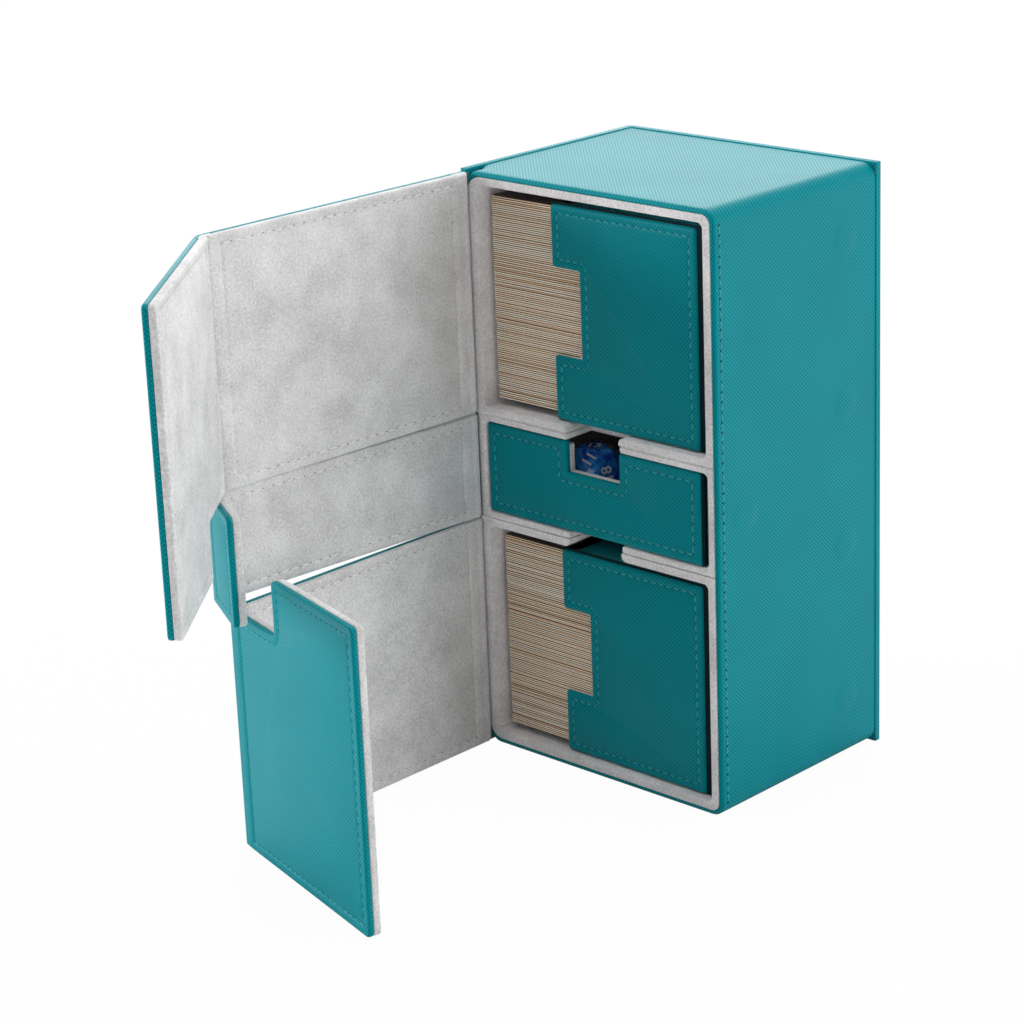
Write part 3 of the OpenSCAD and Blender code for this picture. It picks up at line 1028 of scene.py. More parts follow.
@dataclass
class Stitching:
    """Rows of stitches that ride on one body, in one thread.

    A stitch leaves a share of its pitch free at each end, and slants a little across the row. It
    bows out of the surface, and a part of it lies sunk in the leather.
    """

    seam: Seam
    free: float = 0.17
    slant: float = 0.1
    sunk: float = 0.55
    hole_radius: float = 0.46
    hole_rise: float = 0.05
    hole_sides: int = 7
    stitches: list[bmesh.types.BMesh] = field(default_factory=list)
    holes: list[bmesh.types.BMesh] = field(default_factory=list)

    def row(self, start: Vector, end: Vector, level: float, side: float, place: Place) -> None:
        """Sews one straight row.

        Args:
            start: First end of the row, in the piece's X and Z.
            end: Last end of the row.
            level: Level of the surface.
            side: Which way is out of the surface: 1 or -1.
            place: Turns X, level and Z into the row frame.
        """
        pitch = self.seam.value[0]
        run = end - start
        count = max(1, round(run.length / pitch))
        across = Vector((-run.y, run.x)).normalized()
        for k in range(count):
            head = start + run * ((k + self.free) / count) + across * self.slant
            tail = start + run * ((k + 1 - self.free) / count) - across * self.slant
            self.stitches.append(self._stitch(head, tail, level, side, place))
        # A dark stud at each needle hole, as painted shadow.
        for k in range(count + 1):
            spot = start + run * (k / count)
            rings = stud(
                place, spot.x, spot.y, level, self.hole_sides, self.hole_radius, self.hole_rise
            )
            self.holes.append(lofted(rings))

    def _stitch(
        self, head: Vector, tail: Vector, level: float, side: float, place: Place
    ) -> bmesh.types.BMesh:
        """Bows one stitch out of the surface between two needle holes.

        Args:
            head: The stitch's first end, in the piece's X and Z.
            tail: Its last end.
            level: Level of the surface.
            side: Which way is out of the surface: 1 or -1.
            place: Turns X, level and Z into the row frame.

        Returns:
            The stitch.
        """
        _, width, rise = self.seam.value
        across = Vector((head.y - tail.y, tail.x - head.x)).normalized()
        half_girths = ((0.0, 0.5), (0.12, 0.85), (0.32, 1.0))
        girths = (*half_girths, *((1 - share, girth) for share, girth in reversed(half_girths)))
        blunt, flattened, sides = 0.6, 0.75, 6
        rings = []
        for share, girth in girths:
            middle = head.lerp(tail, share)
            lift = rise * (math.sin(math.pi * share) ** blunt - self.sunk)
            ring = []
            for k in range(sides):
                angle = math.tau * k / sides
                flat = middle + across * (width / 2 * girth * math.cos(angle))
                up = level + side * (lift + rise * flattened * girth * math.sin(angle))
                ring.append(place(flat.x, up, flat.y))
            rings.append(ring)
        return lofted(rings)

    def finish(
        self, name: str, body: str, thread: Finish, hole: Finish, slot: str, turn: float = 0.0
    ) -> None:
        """Makes the rows into a piece of stitches and a piece of dark studs painted as the needle
        holes' shadow, riding on a body.

        Args:
            name: Start of the pieces' names.
            body: The body that they ride on.
            thread: The thread's finish.
            hole: The finish of the painted shadow in the needle holes.
            slot: The record's material slot.
            turn: Angle of the panel about Z, in radians.
        """
        if not self.stitches:
            return
        for label, parts, look in (
            ("stitches", self.stitches, thread),
            ("holes", self.holes, hole),
        ):
            made = piece(f"{name}_{label}", merged(parts), look.material(turn), slot)
            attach(made, body)
            LOG.info("%s rides on %s", made.name, body)


# ---- The studio ----


@dataclass(frozen=True)
class Lamp:
    """A square soft box: its place and width in metres, and its power in watts."""

    name: str
    place: tuple[float, float, float]
    width: float
    power: float


@dataclass(frozen=True)
class Studio:
    """The camera as the photograph has it, soft lamps, and a pale floor and backdrop.

    The camera's place is in millimetres. The lamps and the paper are in metres.
    """

    camera_at: tuple[float, float, float] = (629.0, -726.5, 413.0)
    heading: float = -0.7725
    tilt: float = 0.327
    roll: float = -0.0401
    lens: float = 103.59
    sensor: float = 36.0
    sky: float = 0.32
    lamps: tuple[Lamp, ...] = (
        Lamp("overhead_box", (-0.1, 0.1, 1.5), 1.1, 14.5),
        Lamp("back_box", (-1.15, 1.2, 0.85), 1.5, 20.0),
        Lamp("left_box", (-1.3, -1.25, 0.34), 0.8, 26.0),
        Lamp("right_box", (1.42, 0.6, 0.42), 0.9, 12.5),
    )
    target: tuple[float, float, float] = (0.0, -0.06, 0.1)
    paper_half: float = 3.0
    paper_rise: float = 2.2
    paper_bend: float = 0.8
    paper_back: float = 2.0
    paper_level: float = -0.0002
    paper_glow: float = 0.96

    def build(self) -> None:
        """Sets the camera, the world, the lamps and the floor."""
        self._camera()
        self._world()
        self._lamps()
        self._floor()
        bpy.context.scene.view_settings.view_transform = "Standard"

    def _camera(self) -> None:
        """Points the camera by its heading, tilt and roll."""
        data = bpy.data.cameras.new("camera")
        data.lens, data.sensor_width = self.lens, self.sensor
        data.clip_start, data.clip_end = 0.05, 20.0
        camera = bpy.data.objects.new("camera", data)
        bpy.context.scene.collection.objects.link(camera)
        look = Vector(
            (
                math.sin(self.heading) * math.cos(self.tilt),
                math.cos(self.heading) * math.cos(self.tilt),
                -math.sin(self.tilt),
            )
        )
        level = look.cross(Vector((0, 0, 1))).normalized()
        above = level.cross(look)
        right = level * math.cos(self.roll) + above * math.sin(self.roll)
        up = above * math.cos(self.roll) - level * math.sin(self.roll)
        turned = Matrix((right, up, -look)).transposed().to_4x4()
        camera.matrix_world = Matrix.Translation(Vector(self.camera_at) * MM) @ turned
        bpy.context.scene.camera = camera

    @staticmethod
    def _straight(tree: bpy.types.NodeTree) -> bpy.types.NodeSocket:
        """Gives 1 where the camera looks straight or through a clear piece.

        Args:
            tree: The node tree that gets the nodes.

        Returns:
            The socket that carries 1 or 0.
        """
        path = add(tree, "ShaderNodeLightPath").outputs
        kinds = {0: path["Is Camera Ray"], 1: path["Is Transmission Ray"]}
        return add(tree, "ShaderNodeMath", {"operation": "MAXIMUM"}, kinds).outputs[0]

    def _world(self) -> None:
        """Lights the object with an even pale sky that the camera sees as white."""
        world = bpy.data.worlds.new("studio_air")
        world.use_nodes = True
        world.node_tree.nodes.clear()
        mirrored = add(world.node_tree, "ShaderNodeLightPath").outputs["Is Glossy Ray"]
        seen = add(
            world.node_tree,
            "ShaderNodeMath",
            {"operation": "MAXIMUM"},
            {0: self._straight(world.node_tree), 1: mirrored},
        ).outputs[0]
        level = add(
            world.node_tree,
            "ShaderNodeMix",
            {"data_type": "FLOAT"},
            {0: seen, 2: self.sky, 3: 1.0},
        ).outputs[0]
        sky = add(
            world.node_tree,
            "ShaderNodeBackground",
            links={"Color": linear("#FFFFFF"), "Strength": level},
        ).outputs["Background"]
        add(world.node_tree, "ShaderNodeOutputWorld", links={"Surface": sky})
        bpy.context.scene.world = world

    def _lamps(self) -> None:
        """Hangs a broad box above and behind, a key at the left front and a fill at the right."""
        for box in self.lamps:
            data = bpy.data.lights.new(box.name, "AREA")
            data.energy, data.size = box.power, box.width
            lamp = bpy.data.objects.new(box.name, data)
            lamp.location = box.place
            aim = Vector(self.target) - Vector(box.place)
            lamp.rotation_euler = aim.to_track_quat("-Z", "Y").to_euler()
            bpy.context.scene.collection.objects.link(lamp)

    def _floor(self) -> None:
        """Lays a pale floor that runs up into a backdrop, white to the camera but for a shadow."""
        half, bend, start = self.paper_half, self.paper_bend, self.paper_back - self.paper_bend
        spans = 12
        mesh = bmesh.new()
        lines = [(-half, self.paper_level), (start, self.paper_level)]
        for k in range(1, spans + 1):
            angle = math.pi / 2 * k / spans
            lines.append((start + bend * math.sin(angle), bend * (1 - math.cos(angle))))
        lines.append((self.paper_back, self.paper_rise))
        rows = [[mesh.verts.new((x, y, z)) for x in (-half, half)] for y, z in lines]
        for low, high in zip(rows, rows[1:]):
            mesh.faces.new((low[0], low[1], high[1], high[0]))
        data = bpy.data.meshes.new("paper_sweep")
        mesh.to_mesh(data)
        mesh.free()
        data.shade_smooth()
        paper = bpy.data.materials.new("matt_paper")
        paper.use_nodes = True
        tree = paper.node_tree
        tree.nodes.clear()
        seen = {0: self._straight(tree), 1: self.paper_glow}
        share = add(tree, "ShaderNodeMath", {"operation": "MULTIPLY"}, seen).outputs[0]
        matt = add(
            tree, "ShaderNodeBsdfDiffuse", links={"Color": linear("#F4F4F4"), "Roughness": 0.8}
        ).outputs["BSDF"]
        glow = add(tree, "ShaderNodeEmission", links={"Color": linear("#FFFFFF"), "Strength": 1.0})
        mixed = add(
            tree, "ShaderNodeMixShader", links={0: share, 1: matt, 2: glow.outputs["Emission"]}
        ).outputs["Shader"]
        add(tree, "ShaderNodeOutputMaterial", links={"Surface": mixed})
        data.materials.append(paper)
        sweep = bpy.data.objects.new("paper_sweep", data)
        bpy.context.scene.collection.objects.link(sweep)


# ---- Sub-assemblies ----


@dataclass
class Workshop:
    """What every sub-assembly needs: the frame and the finishes."""

    frame: Frame
    palette: Palette

    def soft(
        self, node: str, name: str, width: float, finish: Finish, slot: str, body: str
    ) -> None:
        """Makes a piece with rounded edges that stands for a node."""
        made = piece(name, self.frame.softened(node, width), finish.material(), slot)
        self.seat(made, body, node)

    @staticmethod
    def seat(made: bpy.types.Object, body: str, *nodes: str) -> None:
        """Lets a piece ride on a body, and stand for its nodes.

        Args:
            made: The piece.
            body: The body that it rides on.
            nodes: The nodes that it stands for, if any.
        """
        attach(made, body)
        if nodes:
            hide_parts(*nodes)
        LOG.info("%s rides on %s", made.name, body)


@dataclass
class Case:
    """The leatherette case, its cover of spine and back panel, and its three suede cells."""

    shop: Workshop
    leather: float = 0.7
    wall: float = 1.8
    corner: float = 5.0
    front_round: float = 1.2
    inner_round: float = 0.45
    facing: float = 0.04
    facing_front: float = 1.0
    facing_rim: float = 0.3
    grid: float = 1.7
    bump_height: float = 0.22
    bump_radius: float = 6.2
    bump_side: float = 2.2
    seam_inset: float = 2.6
    cover_round: float = 0.55
    board_round: float = 0.05
    cell_round: float = 1.0
    spine_corner: float = 4.5
    liner_corner: float = 6.0

    def build(self) -> None:
        """Builds the shell, the cover, the cells and the seam."""
        self._shell()
        leather = self.shop.palette.leather
        self.shop.soft(
            "cover_skin", "cover_leather", self.cover_round, leather, "leatherette", "case"
        )
        self._facing()
        self._board()
        self._cells()
        self._seam()

    def _facing(self) -> None:
        """Lays thin leatherette over the cover's boards, which shows at the case's corners."""
        low, high = self.shop.frame.box("case_skin")
        t, rim = self.facing, self.facing_rim
        left, front, right, back = low.x, low.y + self.facing_front, high.x - rim, high.y
        sheet = Outline(
            (
                Corner(left, front),
                Corner(left + t, front),
                Corner(left + t, back - t),
                Corner(right, back - t),
                Corner(right, back),
                Corner(left, back),
            ),
            steps=1,
            least=0.005,
        )
        levels = [(0.0, low.z + rim), (0.0, high.z + rim / 2)]
        mesh = slab(sheet, levels, lambda x, z, y: in_row(x, y, z))
        made = piece("cover_facing", mesh, self.shop.palette.leather.material(), "leatherette")
        self.shop.seat(made, "case", "cover_skin")

    def _cells(self) -> None:
        """Builds the three liners, and rounds the stack's corners beside the spine."""
        for cell, upward in (("upper", -1), ("drawer", 0), ("lower", 1)):
            node = f"{cell}_cell_liner"
            mesh = self.shop.frame.softened(node, self.cell_round)
            if upward:
                low, high = self.shop.frame.box(node)
                corner = Vector((low.x, low.z if upward > 0 else high.z))
                self._rounded(mesh, corner, upward, self.liner_corner)
            made = piece(f"{cell}_cell_suede", mesh, self.shop.palette.liner.material(), "suede")
            self.shop.seat(made, "case", node)

    def _board(self) -> None:
        """Rounds the board's two corners beside the spine, as the leather over them is round."""
        mesh = self.shop.frame.softened("case_board", self.board_round, 1)
        low, high = self.shop.frame.box("case_board")
        self._rounded(mesh, Vector((low.x, high.z)), -1, self.spine_corner)
        self._rounded(mesh, Vector((low.x, low.z)), 1, self.spine_corner)
        made = piece("case_greyboard", mesh, self.shop.palette.board.material(), "board")
        self.shop.seat(made, "case", "case_board")

    @staticmethod
    def _rounded(
        mesh: bmesh.types.BMesh, corner: Vector, upward: int, radius: float, steps: int = 6
    ) -> None:
        """Rounds a square left corner of a tube that runs along Y, walls and all.

        Args:
            mesh: The tube.
            corner: The corner's X and Z in mm.
            upward: 1 for a lower corner, -1 for an upper one.
            radius: The radius that the corner gets.
            steps: Cuts across the corner.
        """
        for k in range(steps + 1):
            for spot, normal in (
                (in_row(corner.x + radius * k / steps, 0, 0), Vector((1, 0, 0))),
                (in_row(0, 0, corner.y + upward * radius * k / steps), Vector((0, 0, 1))),
            ):
                parts = [*mesh.verts, *mesh.edges, *mesh.faces]
                bmesh.ops.bisect_plane(
                    mesh, geom=parts, dist=TOUCHING, plane_co=spot, plane_no=normal
                )
        middle = Vector((corner.x + radius, corner.y + upward * radius)) * MM
        for vert in mesh.verts:
            left, down = middle.x - vert.co.x, (middle.y - vert.co.z) * upward
            if left > 0 and down > 0:
                share = max(left, down) / math.hypot(left, down)
                vert.co.x = middle.x - left * share
                vert.co.z = middle.y - down * share * upward

    def _path(self) -> list[tuple[Vector, Vector]]:
        """Walks the case's outline from top left round to bottom left, with inward normals.

        Returns:
            Pairs of a place and its normal, each as X and Z.
        """
        low, high = self.shop.frame.box("case_skin")
        left, right, foot, top = low.x, high.x, low.z, high.z
        made: list[tuple[Vector, Vector]] = []

        def straight(start: Vector, end: Vector, normal: Vector) -> None:
            """Adds even places from one end of a straight side up to the other."""
            count = max(1, round((end - start).length / self.grid))
            made.extend((start.lerp(end, k / count), normal) for k in range(count))

        def bend(x: float, z: float, radius: float, start: float, steps: int = 9) -> None:
            """Adds places round a quarter turn from a starting angle in degrees.

            Args:
                x: X of the turn's centre.
                z: Z of its centre.
                radius: Its radius.
                start: The angle that it starts at.
                steps: Places on it.
            """
            for k in range(steps):
                angle = math.radians(start - 90 * k / steps)
                spoke = Vector((math.cos(angle), math.sin(angle)))
                made.append((Vector((x, z)) + spoke * radius, -spoke))

        r, spine = self.corner, self.spine_corner
        bend(left + spine, top - spine, spine, 180)
        straight(Vector((left + spine, top)), Vector((right - r, top)), Vector((0, -1)))
        bend(right - r, top - r, r, 90)
        straight(Vector((right, top - r)), Vector((right, foot + r)), Vector((-1, 0)))
        bend(right - r, foot + r, r, 0)
        straight(Vector((right - r, foot)), Vector((left + spine, foot)), Vector((0, 1)))
        bend(left + spine, foot + spine, spine, 270)
        made.append((Vector((left, foot + spine)), Vector((1, 0))))
        return made

    def _shell(self) -> None:
        """Wraps leatherette over the board, with a soft front edge and a rise over each magnet.

        The corners beside the spine are round at the front and square farther in. Only the right
        side has magnets, and there the inward normal runs to the left.
        """
        low, high = self.shop.frame.box("case_skin")
        magnets = self.shop.frame.islands("case_magnets")
        leather, inner = self.leather, self.inner_round
        front, back = low.y, high.y - self.facing
        count = round((back - front) / self.grid)
        outer = [(0.0, back + (front + self.front_round - back) * k / count) for k in range(count)]
        edge = arc(self.front_round, front + self.front_round, self.front_round, 180, 270, 5)
        loop = [
            *outer,
            *edge,
            *arc(self.wall - inner, front + inner, inner, 270, 360, 3),
            (self.wall, front + leather),
            (leather, front + leather),
            (leather, back),
        ]
        rings = []
        for spot, normal in self._path():
            ring = []
            for depth, y in loop:
                lift = self._rise(magnets, spot, y) if depth == 0.0 and normal.x < -0.99 else 0.0
                place = spot + normal * (depth - lift)
                if spot.x < low.x + self.spine_corner:
                    place = self._squared(place, depth, y - front, high.z)
                ring.append(in_row(place.x, y, place.y))
            rings.append(ring)
        finish = self.shop.palette.leather.material()
        made = piece("case_leather", lofted(rings), finish, "leatherette")
        self.shop.seat(made, "case", "case_skin")

    def _squared(self, place: Vector, depth: float, inward: float, top: float) -> Vector:
        """Moves a place of a corner beside the spine out to the square as it lies farther in.

        Args:
            place: Its X and Z on the round corner.
            depth: How deep it lies in the leather.
            inward: How far behind the front it lies.
            top: The case's height.

        Returns:
            The place that it moves to.
        """
        share = min(1.0, max(0.0, (inward - self.spine_corner) / self.spine_corner))
        share *= share * (3 - 2 * share)
        square = Vector((place.x, top - depth if place.y > top / 2 else depth))
        return place.lerp(square, share)

    def _rise(self, magnets: Sequence[Vector], spot: Vector, y: float) -> float:
        """Gives how far the leather stands over a magnet: a low round plateau with soft sides.

        Args:
            magnets: The magnets' middles, in mm.
            spot: X and Z of a place on the case's outline.
            y: Y of the place.

        Returns:
            The rise in mm.
        """
        reach = min(math.hypot(m.y - y, m.z - spot.y) for m in magnets)
        share = min(1.0, max(0.0, (self.bump_radius - reach) / self.bump_side))
        return self.bump_height * share * share * (3 - 2 * share)

    def _seam(self) -> None:
        """Sews the right side along its front edge."""
        low, high = self.shop.frame.box("case_skin")
        y, pal = low.y + self.seam_inset, self.shop.palette

        def on_right(across: float, level: float, z: float) -> Vector:
            """Gives a place on the right side, a distance across the seam and a level above it."""
            return in_row(high.x + level, y + across, z)

        row = Stitching(Seam.ON_LEATHER)
        ends = Vector((0, high.z - self.corner)), Vector((0, low.z + self.corner))
        row.row(*ends, 0.0, 1, on_right)
        row.finish("case_seam", "case", pal.leather_thread, pal.needle_hole, "leatherette")


@dataclass
class PanelSizes:
    """Sizes that every door panel shares."""

    lining: float = 2.6
    leather: float = 0.7
    fold_gap: float = 0.3
    seam_inset: float = 3.3
    seam_half: float = 1.0
    seam_depth: float = 0.42
    outer_round: float = 0.7
    inner_round: float = 0.5
    lining_round: float = 0.75
    fold_corner: float = 0.8
    free_corner: float = 2.0
    end_length: float = 83.6
    notch_depth: float = 31.0
    tab_length: float = 28.6


@dataclass
class Panel:
    """One door panel: leatherette turned over a board, and a padded suede lining."""

    shop: Workshop
    sizes: PanelSizes
    name: str
    body: str
    hinged: Hinged
    thick: float
    outline: Outline
    outer_seams: tuple[int, ...]
    inner_seams: tuple[int, ...]

    def build(self) -> None:
        """Builds the leather, the lining and their stitches."""
        s, half, turn = self.sizes, self.thick / 2, self.hinged.turn
        shared = half - s.lining
        pal = self.shop.palette
        leather = slab(self.outline, self._leather(-half, shared), self.hinged.place)
        made = piece(f"{self.name}_leather", leather, pal.leather.material(turn), "leatherette")
        self.shop.seat(made, self.body, f"{self.name}_skin")
        suede = slab(self.outline, self._suede(shared, half), self.hinged.place)
        made = piece(f"{self.name}_suede", suede, pal.suede.material(turn), "suede")
        self.shop.seat(made, self.body, f"{self.name}_lining")
        outer, inner = Stitching(Seam.ON_LEATHER), Stitching(Seam.ON_SUEDE)
        for rows, sides, level, side in (
            (outer, self.outer_seams, s.seam_depth - half, -1),
            (inner, self.inner_seams, half - s.seam_depth, 1),
        ):
            for i in sides:
                start, end = self.outline.side(i, s.seam_inset)
                rows.row(start, end, level, side, self.hinged.place)
        for rows, label, thread, hole, slot in (
            (outer, "outer", pal.leather_thread, pal.needle_hole, "leatherette"),
            (inner, "inner", pal.suede_thread, pal.suede_hole, "suede"),
        ):
            rows.finish(f"{self.name}_{label}", self.body, thread, hole, slot, turn)

    def _groove(self, face: float, inward: float) -> Profile:
        """Dips the surface where the seam draws it in, from the middle out to the edge.

        Args:
            face: Level of the surface.
            inward: Which way is into the panel: 1 or -1.

        Returns:
            Pairs of inset and level.
        """
        s = self.sizes
        return [
            (s.seam_inset + s.seam_half * out, face + inward * s.seam_depth * deep)
            for out, deep in SEAM_SHAPE
        ]

    def _leather(self, face: float, shared: float) -> Profile:
        """Runs from the middle of the outer face over the edge and down into the board's pocket.

        Args:
            face: Level of the outer face.
            shared: Level where the leather meets the lining.

        Returns:
            Pairs of inset and level.
        """
        s = self.sizes
        return [
            *self._groove(face, 1),
            *arc(s.outer_round, face + s.outer_round, s.outer_round, -90, -180),
            *arc(s.inner_round, shared - s.inner_round, s.inner_round, 180, 90, 3),
            (s.leather, shared),
            (s.leather, face + s.leather),
        ]

    def _suede(self, shared: float, face: float) -> Profile:
        """Runs from the middle of the suede face over its soft edge to the board side.

        Args:
            shared: Level where the lining meets the leather.
            face: Level of the suede face.

        Returns:
            Pairs of inset and level.
        """
        s = self.sizes
        return [
            *self._groove(face, -1),
            *arc(s.lining_round, face - s.lining_round, s.lining_round, 90, 180),
            *arc(s.inner_round, shared + s.inner_round, s.inner_round, 180, 270, 3),
        ]


@dataclass(frozen=True)
class Groove:
    """How a fold's surface sinks: its depth before, at and after the fold line, in mm."""

    before: float
    middle: float
    after: float

    def depth(self, share: float) -> float:
        """Gives the depth at a share of the way across the fold.

        Args:
            share: How far across the fold, from 0 to 1.

        Returns:
            The depth in mm.
        """
        ends = self.before * (1 - share) + self.after * share
        hump = math.sin(math.pi * share) ** 2
        return ends * (1 - hump) + self.middle * hump


@dataclass
class Fold:
    """The leather and the suede that cross a fold line, lofted bent at the fold's angle.

    Each layer laps over the panels beside it, and stands a hair over their faces there.
    """

    shop: Workshop
    sizes: PanelSizes
    name: str
    bodies: tuple[str, str]
    before: Hinged
    bend: float
    thick: float
    low: float
    high: float
    leather: Groove = Groove(0.0, 0.3, 0.0)
    suede: Groove = Groove(0.0, 0.35, 0.0)
    laps: tuple[float, float] = (1.0, 1.0)
    slot: float = 0.0
    crease: float = 0.2
    edge: float = 0.5
    lap_lift: float = 0.01
    stations: int = 21

    def build(self, node: str) -> None:
        """Builds both layers, which stand for the roll in the fold line.

        Args:
            node: The node of the roll.
        """
        half = self.thick / 2
        pal = self.shop.palette
        for label, side, groove, look, slot in (
            ("leather", -1, self.leather, pal.leather, "leatherette"),
            ("suede", 1, self.suede, pal.suede, "suede"),
        ):
            mesh, ends = self._layer(side * half, side, groove, half - self.sizes.lining)
            made = piece(f"{self.name}_{label}", mesh, look.material(self.before.turn), slot)
            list(self.bodies)
            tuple(ends[0])
            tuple(ends[1])
            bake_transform(made)
            if label == "leather":
                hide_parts(node)
            LOG.info("%s bends between %s and %s", made.name, *self.bodies)

    def _bent(self, share: float, along: float, out: float, up: float) -> Vector:
        """Turns a place of the flat fold by its share of the bend.

        Args:
            share: Share of the bend, from 0 to 1.
            along: Distance along the fold.
            out: Distance towards the suede side.
            up: Height.

        Returns:
            The place in the row frame, in metres.
        """
        angle = self.bend * share
        c, s = math.cos(angle), math.sin(angle)
        return self.before.place(c * along - s * out, s * along + c * out, up)

    def _layer(
        self, face: float, side: float, groove: Groove, core: float
    ) -> tuple[bmesh.types.BMesh, list[Vector]]:
        """Lofts one layer from panel to panel, and gives the two ends of its bend.

        Args:
            face: The layer's outer face.
            side: Which way is out of that face: 1 or -1.
            groove: How the face sinks across the fold.
            core: Where the layer meets the other one.

        Returns:
            The layer, and the ends of its bend in metres.
        """
        reach = self.thick / 2 + self.sizes.fold_gap
        edge = self.edge
        first = self.slot / (2 * reach) if side > 0 else 0.0
        spots = [(first + (1 - first) * k / (self.stations - 1), 0.0) for k in range(self.stations)]
        if self.laps[0]:
            spots.insert(0, (0.0, -self.laps[0]))
        if self.laps[1]:
            spots.append((1.0, self.laps[1]))
        rings = []
        for t, lap in spots:
            along = reach * (2 * t - 1) + lap
            surface = face - side * groove.depth(t) + (side * self.lap_lift if lap else 0.0)
            turned = min(1.0, max(0.0, (t - self.crease) / (1 - 2 * self.crease)))
            share = turned * turned * (3 - 2 * turned)
            section = (
                (core, self.low),
                (surface - side * edge, self.low),
                (surface, self.low + edge),
                (surface, self.high - edge),
                (surface - side * edge, self.high),
                (core, self.high),
            )
            rings.append([self._bent(share, along, out, up) for out, up in section])
        ends = [self._bent(t, reach * (2 * t - 1), face, 0.0) for t in (0, 1)]
        middle = (ends[0] + ends[1]) / 2
        line = self._bent(0.5, 1.0, 0.0, 0.0) - self._bent(0.5, 0.0, 0.0, 0.0)
        line.normalize()
        return lofted(rings), [middle + line * (end - middle).dot(line) for end in ends]


class Doors:
    """The two flaps with their end panels, and the strap with its tab."""

    def __init__(self, shop: Workshop) -> None:
        """Reads the fold lines, angles and heights from the frame.

        Args:
            shop: The frame and the finishes.
        """
        self.shop = shop
        self.sizes = PanelSizes()
        frame = shop.frame
        low, high = frame.box("upper_hinge_roll")
        self.thick = high.y - low.y
        self.top, self.flap_low = high.z, low.z
        low, high = frame.box("strap_hinge_roll")
        self.strap_low, self.strap_high = low.z, high.z
        self.height = frame.box("case_skin")[1].z
        self.end_low = frame.box("upper_end_skin")[0].z

    def build(self) -> None:
        """Builds the three doors, with their folds."""
        s = self.sizes
        gap = self.thick / 2 + s.fold_gap
        hinge = self.shop.frame.fold("upper_flap_hinge")
        spine = Hinged(hinge.x, hinge.y, -math.pi / 2)
        ends = Outline(
            (
                Corner(gap, self.flap_low, s.fold_corner),
                Corner(s.notch_depth, self.flap_low, s.free_corner),
                Corner(s.notch_depth, self.end_low, s.free_corner),
                Corner(s.end_length, self.end_low, s.free_corner),
                Corner(s.end_length, self.top, s.free_corner),
                Corner(gap, self.top, s.fold_corner),
            )
        )
        for name, upside_down, low, high in (
            ("upper", False, self.flap_low, self.top),
            ("lower", True, self.height - self.top, self.height - self.flap_low),
        ):
            far = self.shop.frame.fold(f"{name}_end_fold")
            flap = self._hinged(hinge, far)
            length = (far - hinge).length
            fold = self.shop.frame.fold_angle(f"{name}_end_fold")
            end = Hinged(far.x, far.y, flap.turn + fold)
            self._hinge(f"{name}_hinge", f"{name}_flap", spine, flap.turn - spine.turn, low, high)
            strip = Outline.box(gap, low, length - gap, high, s.fold_corner, s.fold_corner)
            self._panel(f"{name}_flap", f"{name}_flap", flap, strip, (0, 2), (0, 2))
            at_fold = Hinged(far.x, far.y, flap.turn)
            self._fold(f"{name}_end", (f"{name}_flap", f"{name}_end"), at_fold, fold, low, high)
            shape = ends.mirrored(self.height) if upside_down else ends
            self._panel(f"{name}_end", f"{name}_end", end, shape, tuple(range(5)), ())
        self._strap(hinge, spine, gap)

    def _strap(self, hinge: Vector, spine: Hinged, gap: float) -> None:
        """Builds the strap and its tab.

        Args:
            hinge: The hinge line, in plan.
            spine: The frame of the spine's edge.
            gap: Distance from a fold line to the panel beside it.
        """
        s, low, high = self.sizes, self.strap_low, self.strap_high
        far = self.shop.frame.fold("tab_fold")
        strap = self._hinged(hinge, far)
        fold = self.shop.frame.fold_angle("tab_fold")
        self._hinge("strap_hinge", "strap", spine, strap.turn - spine.turn, low, high)
        length = (far - hinge).length
        strip = Outline.box(gap, low, length - gap, high, s.fold_corner, s.fold_corner)
        self._panel("strap", "strap", strap, strip, (0, 2), (0, 2))
        at_fold = Hinged(far.x, far.y, strap.turn)
        self._fold("tab", ("strap", "tab"), at_fold, fold, low, high)
        shape = Outline.box(gap, low, s.tab_length, high, s.fold_corner, s.free_corner)
        self._panel("tab", "tab", Hinged(far.x, far.y, strap.turn + fold), shape, (0, 1, 2), ())

    @staticmethod
    def _hinged(near: Vector, far: Vector) -> Hinged:
        """Gives the frame of a panel that runs from one fold line to another."""
        run = far - near
        return Hinged(near.x, near.y, math.atan2(run.y, run.x))

    def _panel(
        self,
        name: str,
        body: str,
        hinged: Hinged,
        outline: Outline,
        outer: tuple[int, ...],
        inner: tuple[int, ...],
    ) -> None:
        """Builds one panel."""
        Panel(self.shop, self.sizes, name, body, hinged, self.thick, outline, outer, inner).build()

    def _fold(
        self,
        name: str,
        bodies: tuple[str, str],
        before: Hinged,
        bend: float,
        low: float,
        high: float,
    ) -> None:
        """Builds the fold between a door and its end."""
        line = (before, bend, self.thick, low, high)
        Fold(self.shop, self.sizes, f"{name}_fold", bodies, *line).build(f"{name}_roll")

    def _hinge(
        self, name: str, body: str, spine: Hinged, bend: float, low: float, high: float
    ) -> None:
        """Builds the fold between the case and a door. Its suede sinks to a crease at the case."""
        Fold(
            self.shop,
            self.sizes,
            f"{name}_fold",
            ("case", body),
            spine,
            bend,
            self.thick,
            low,
            high,
            suede=Groove(1.2, 0.0, 0.0),
            laps=(0.0, 1.0),
            slot=0.7,
        ).build(f"{name}_roll")


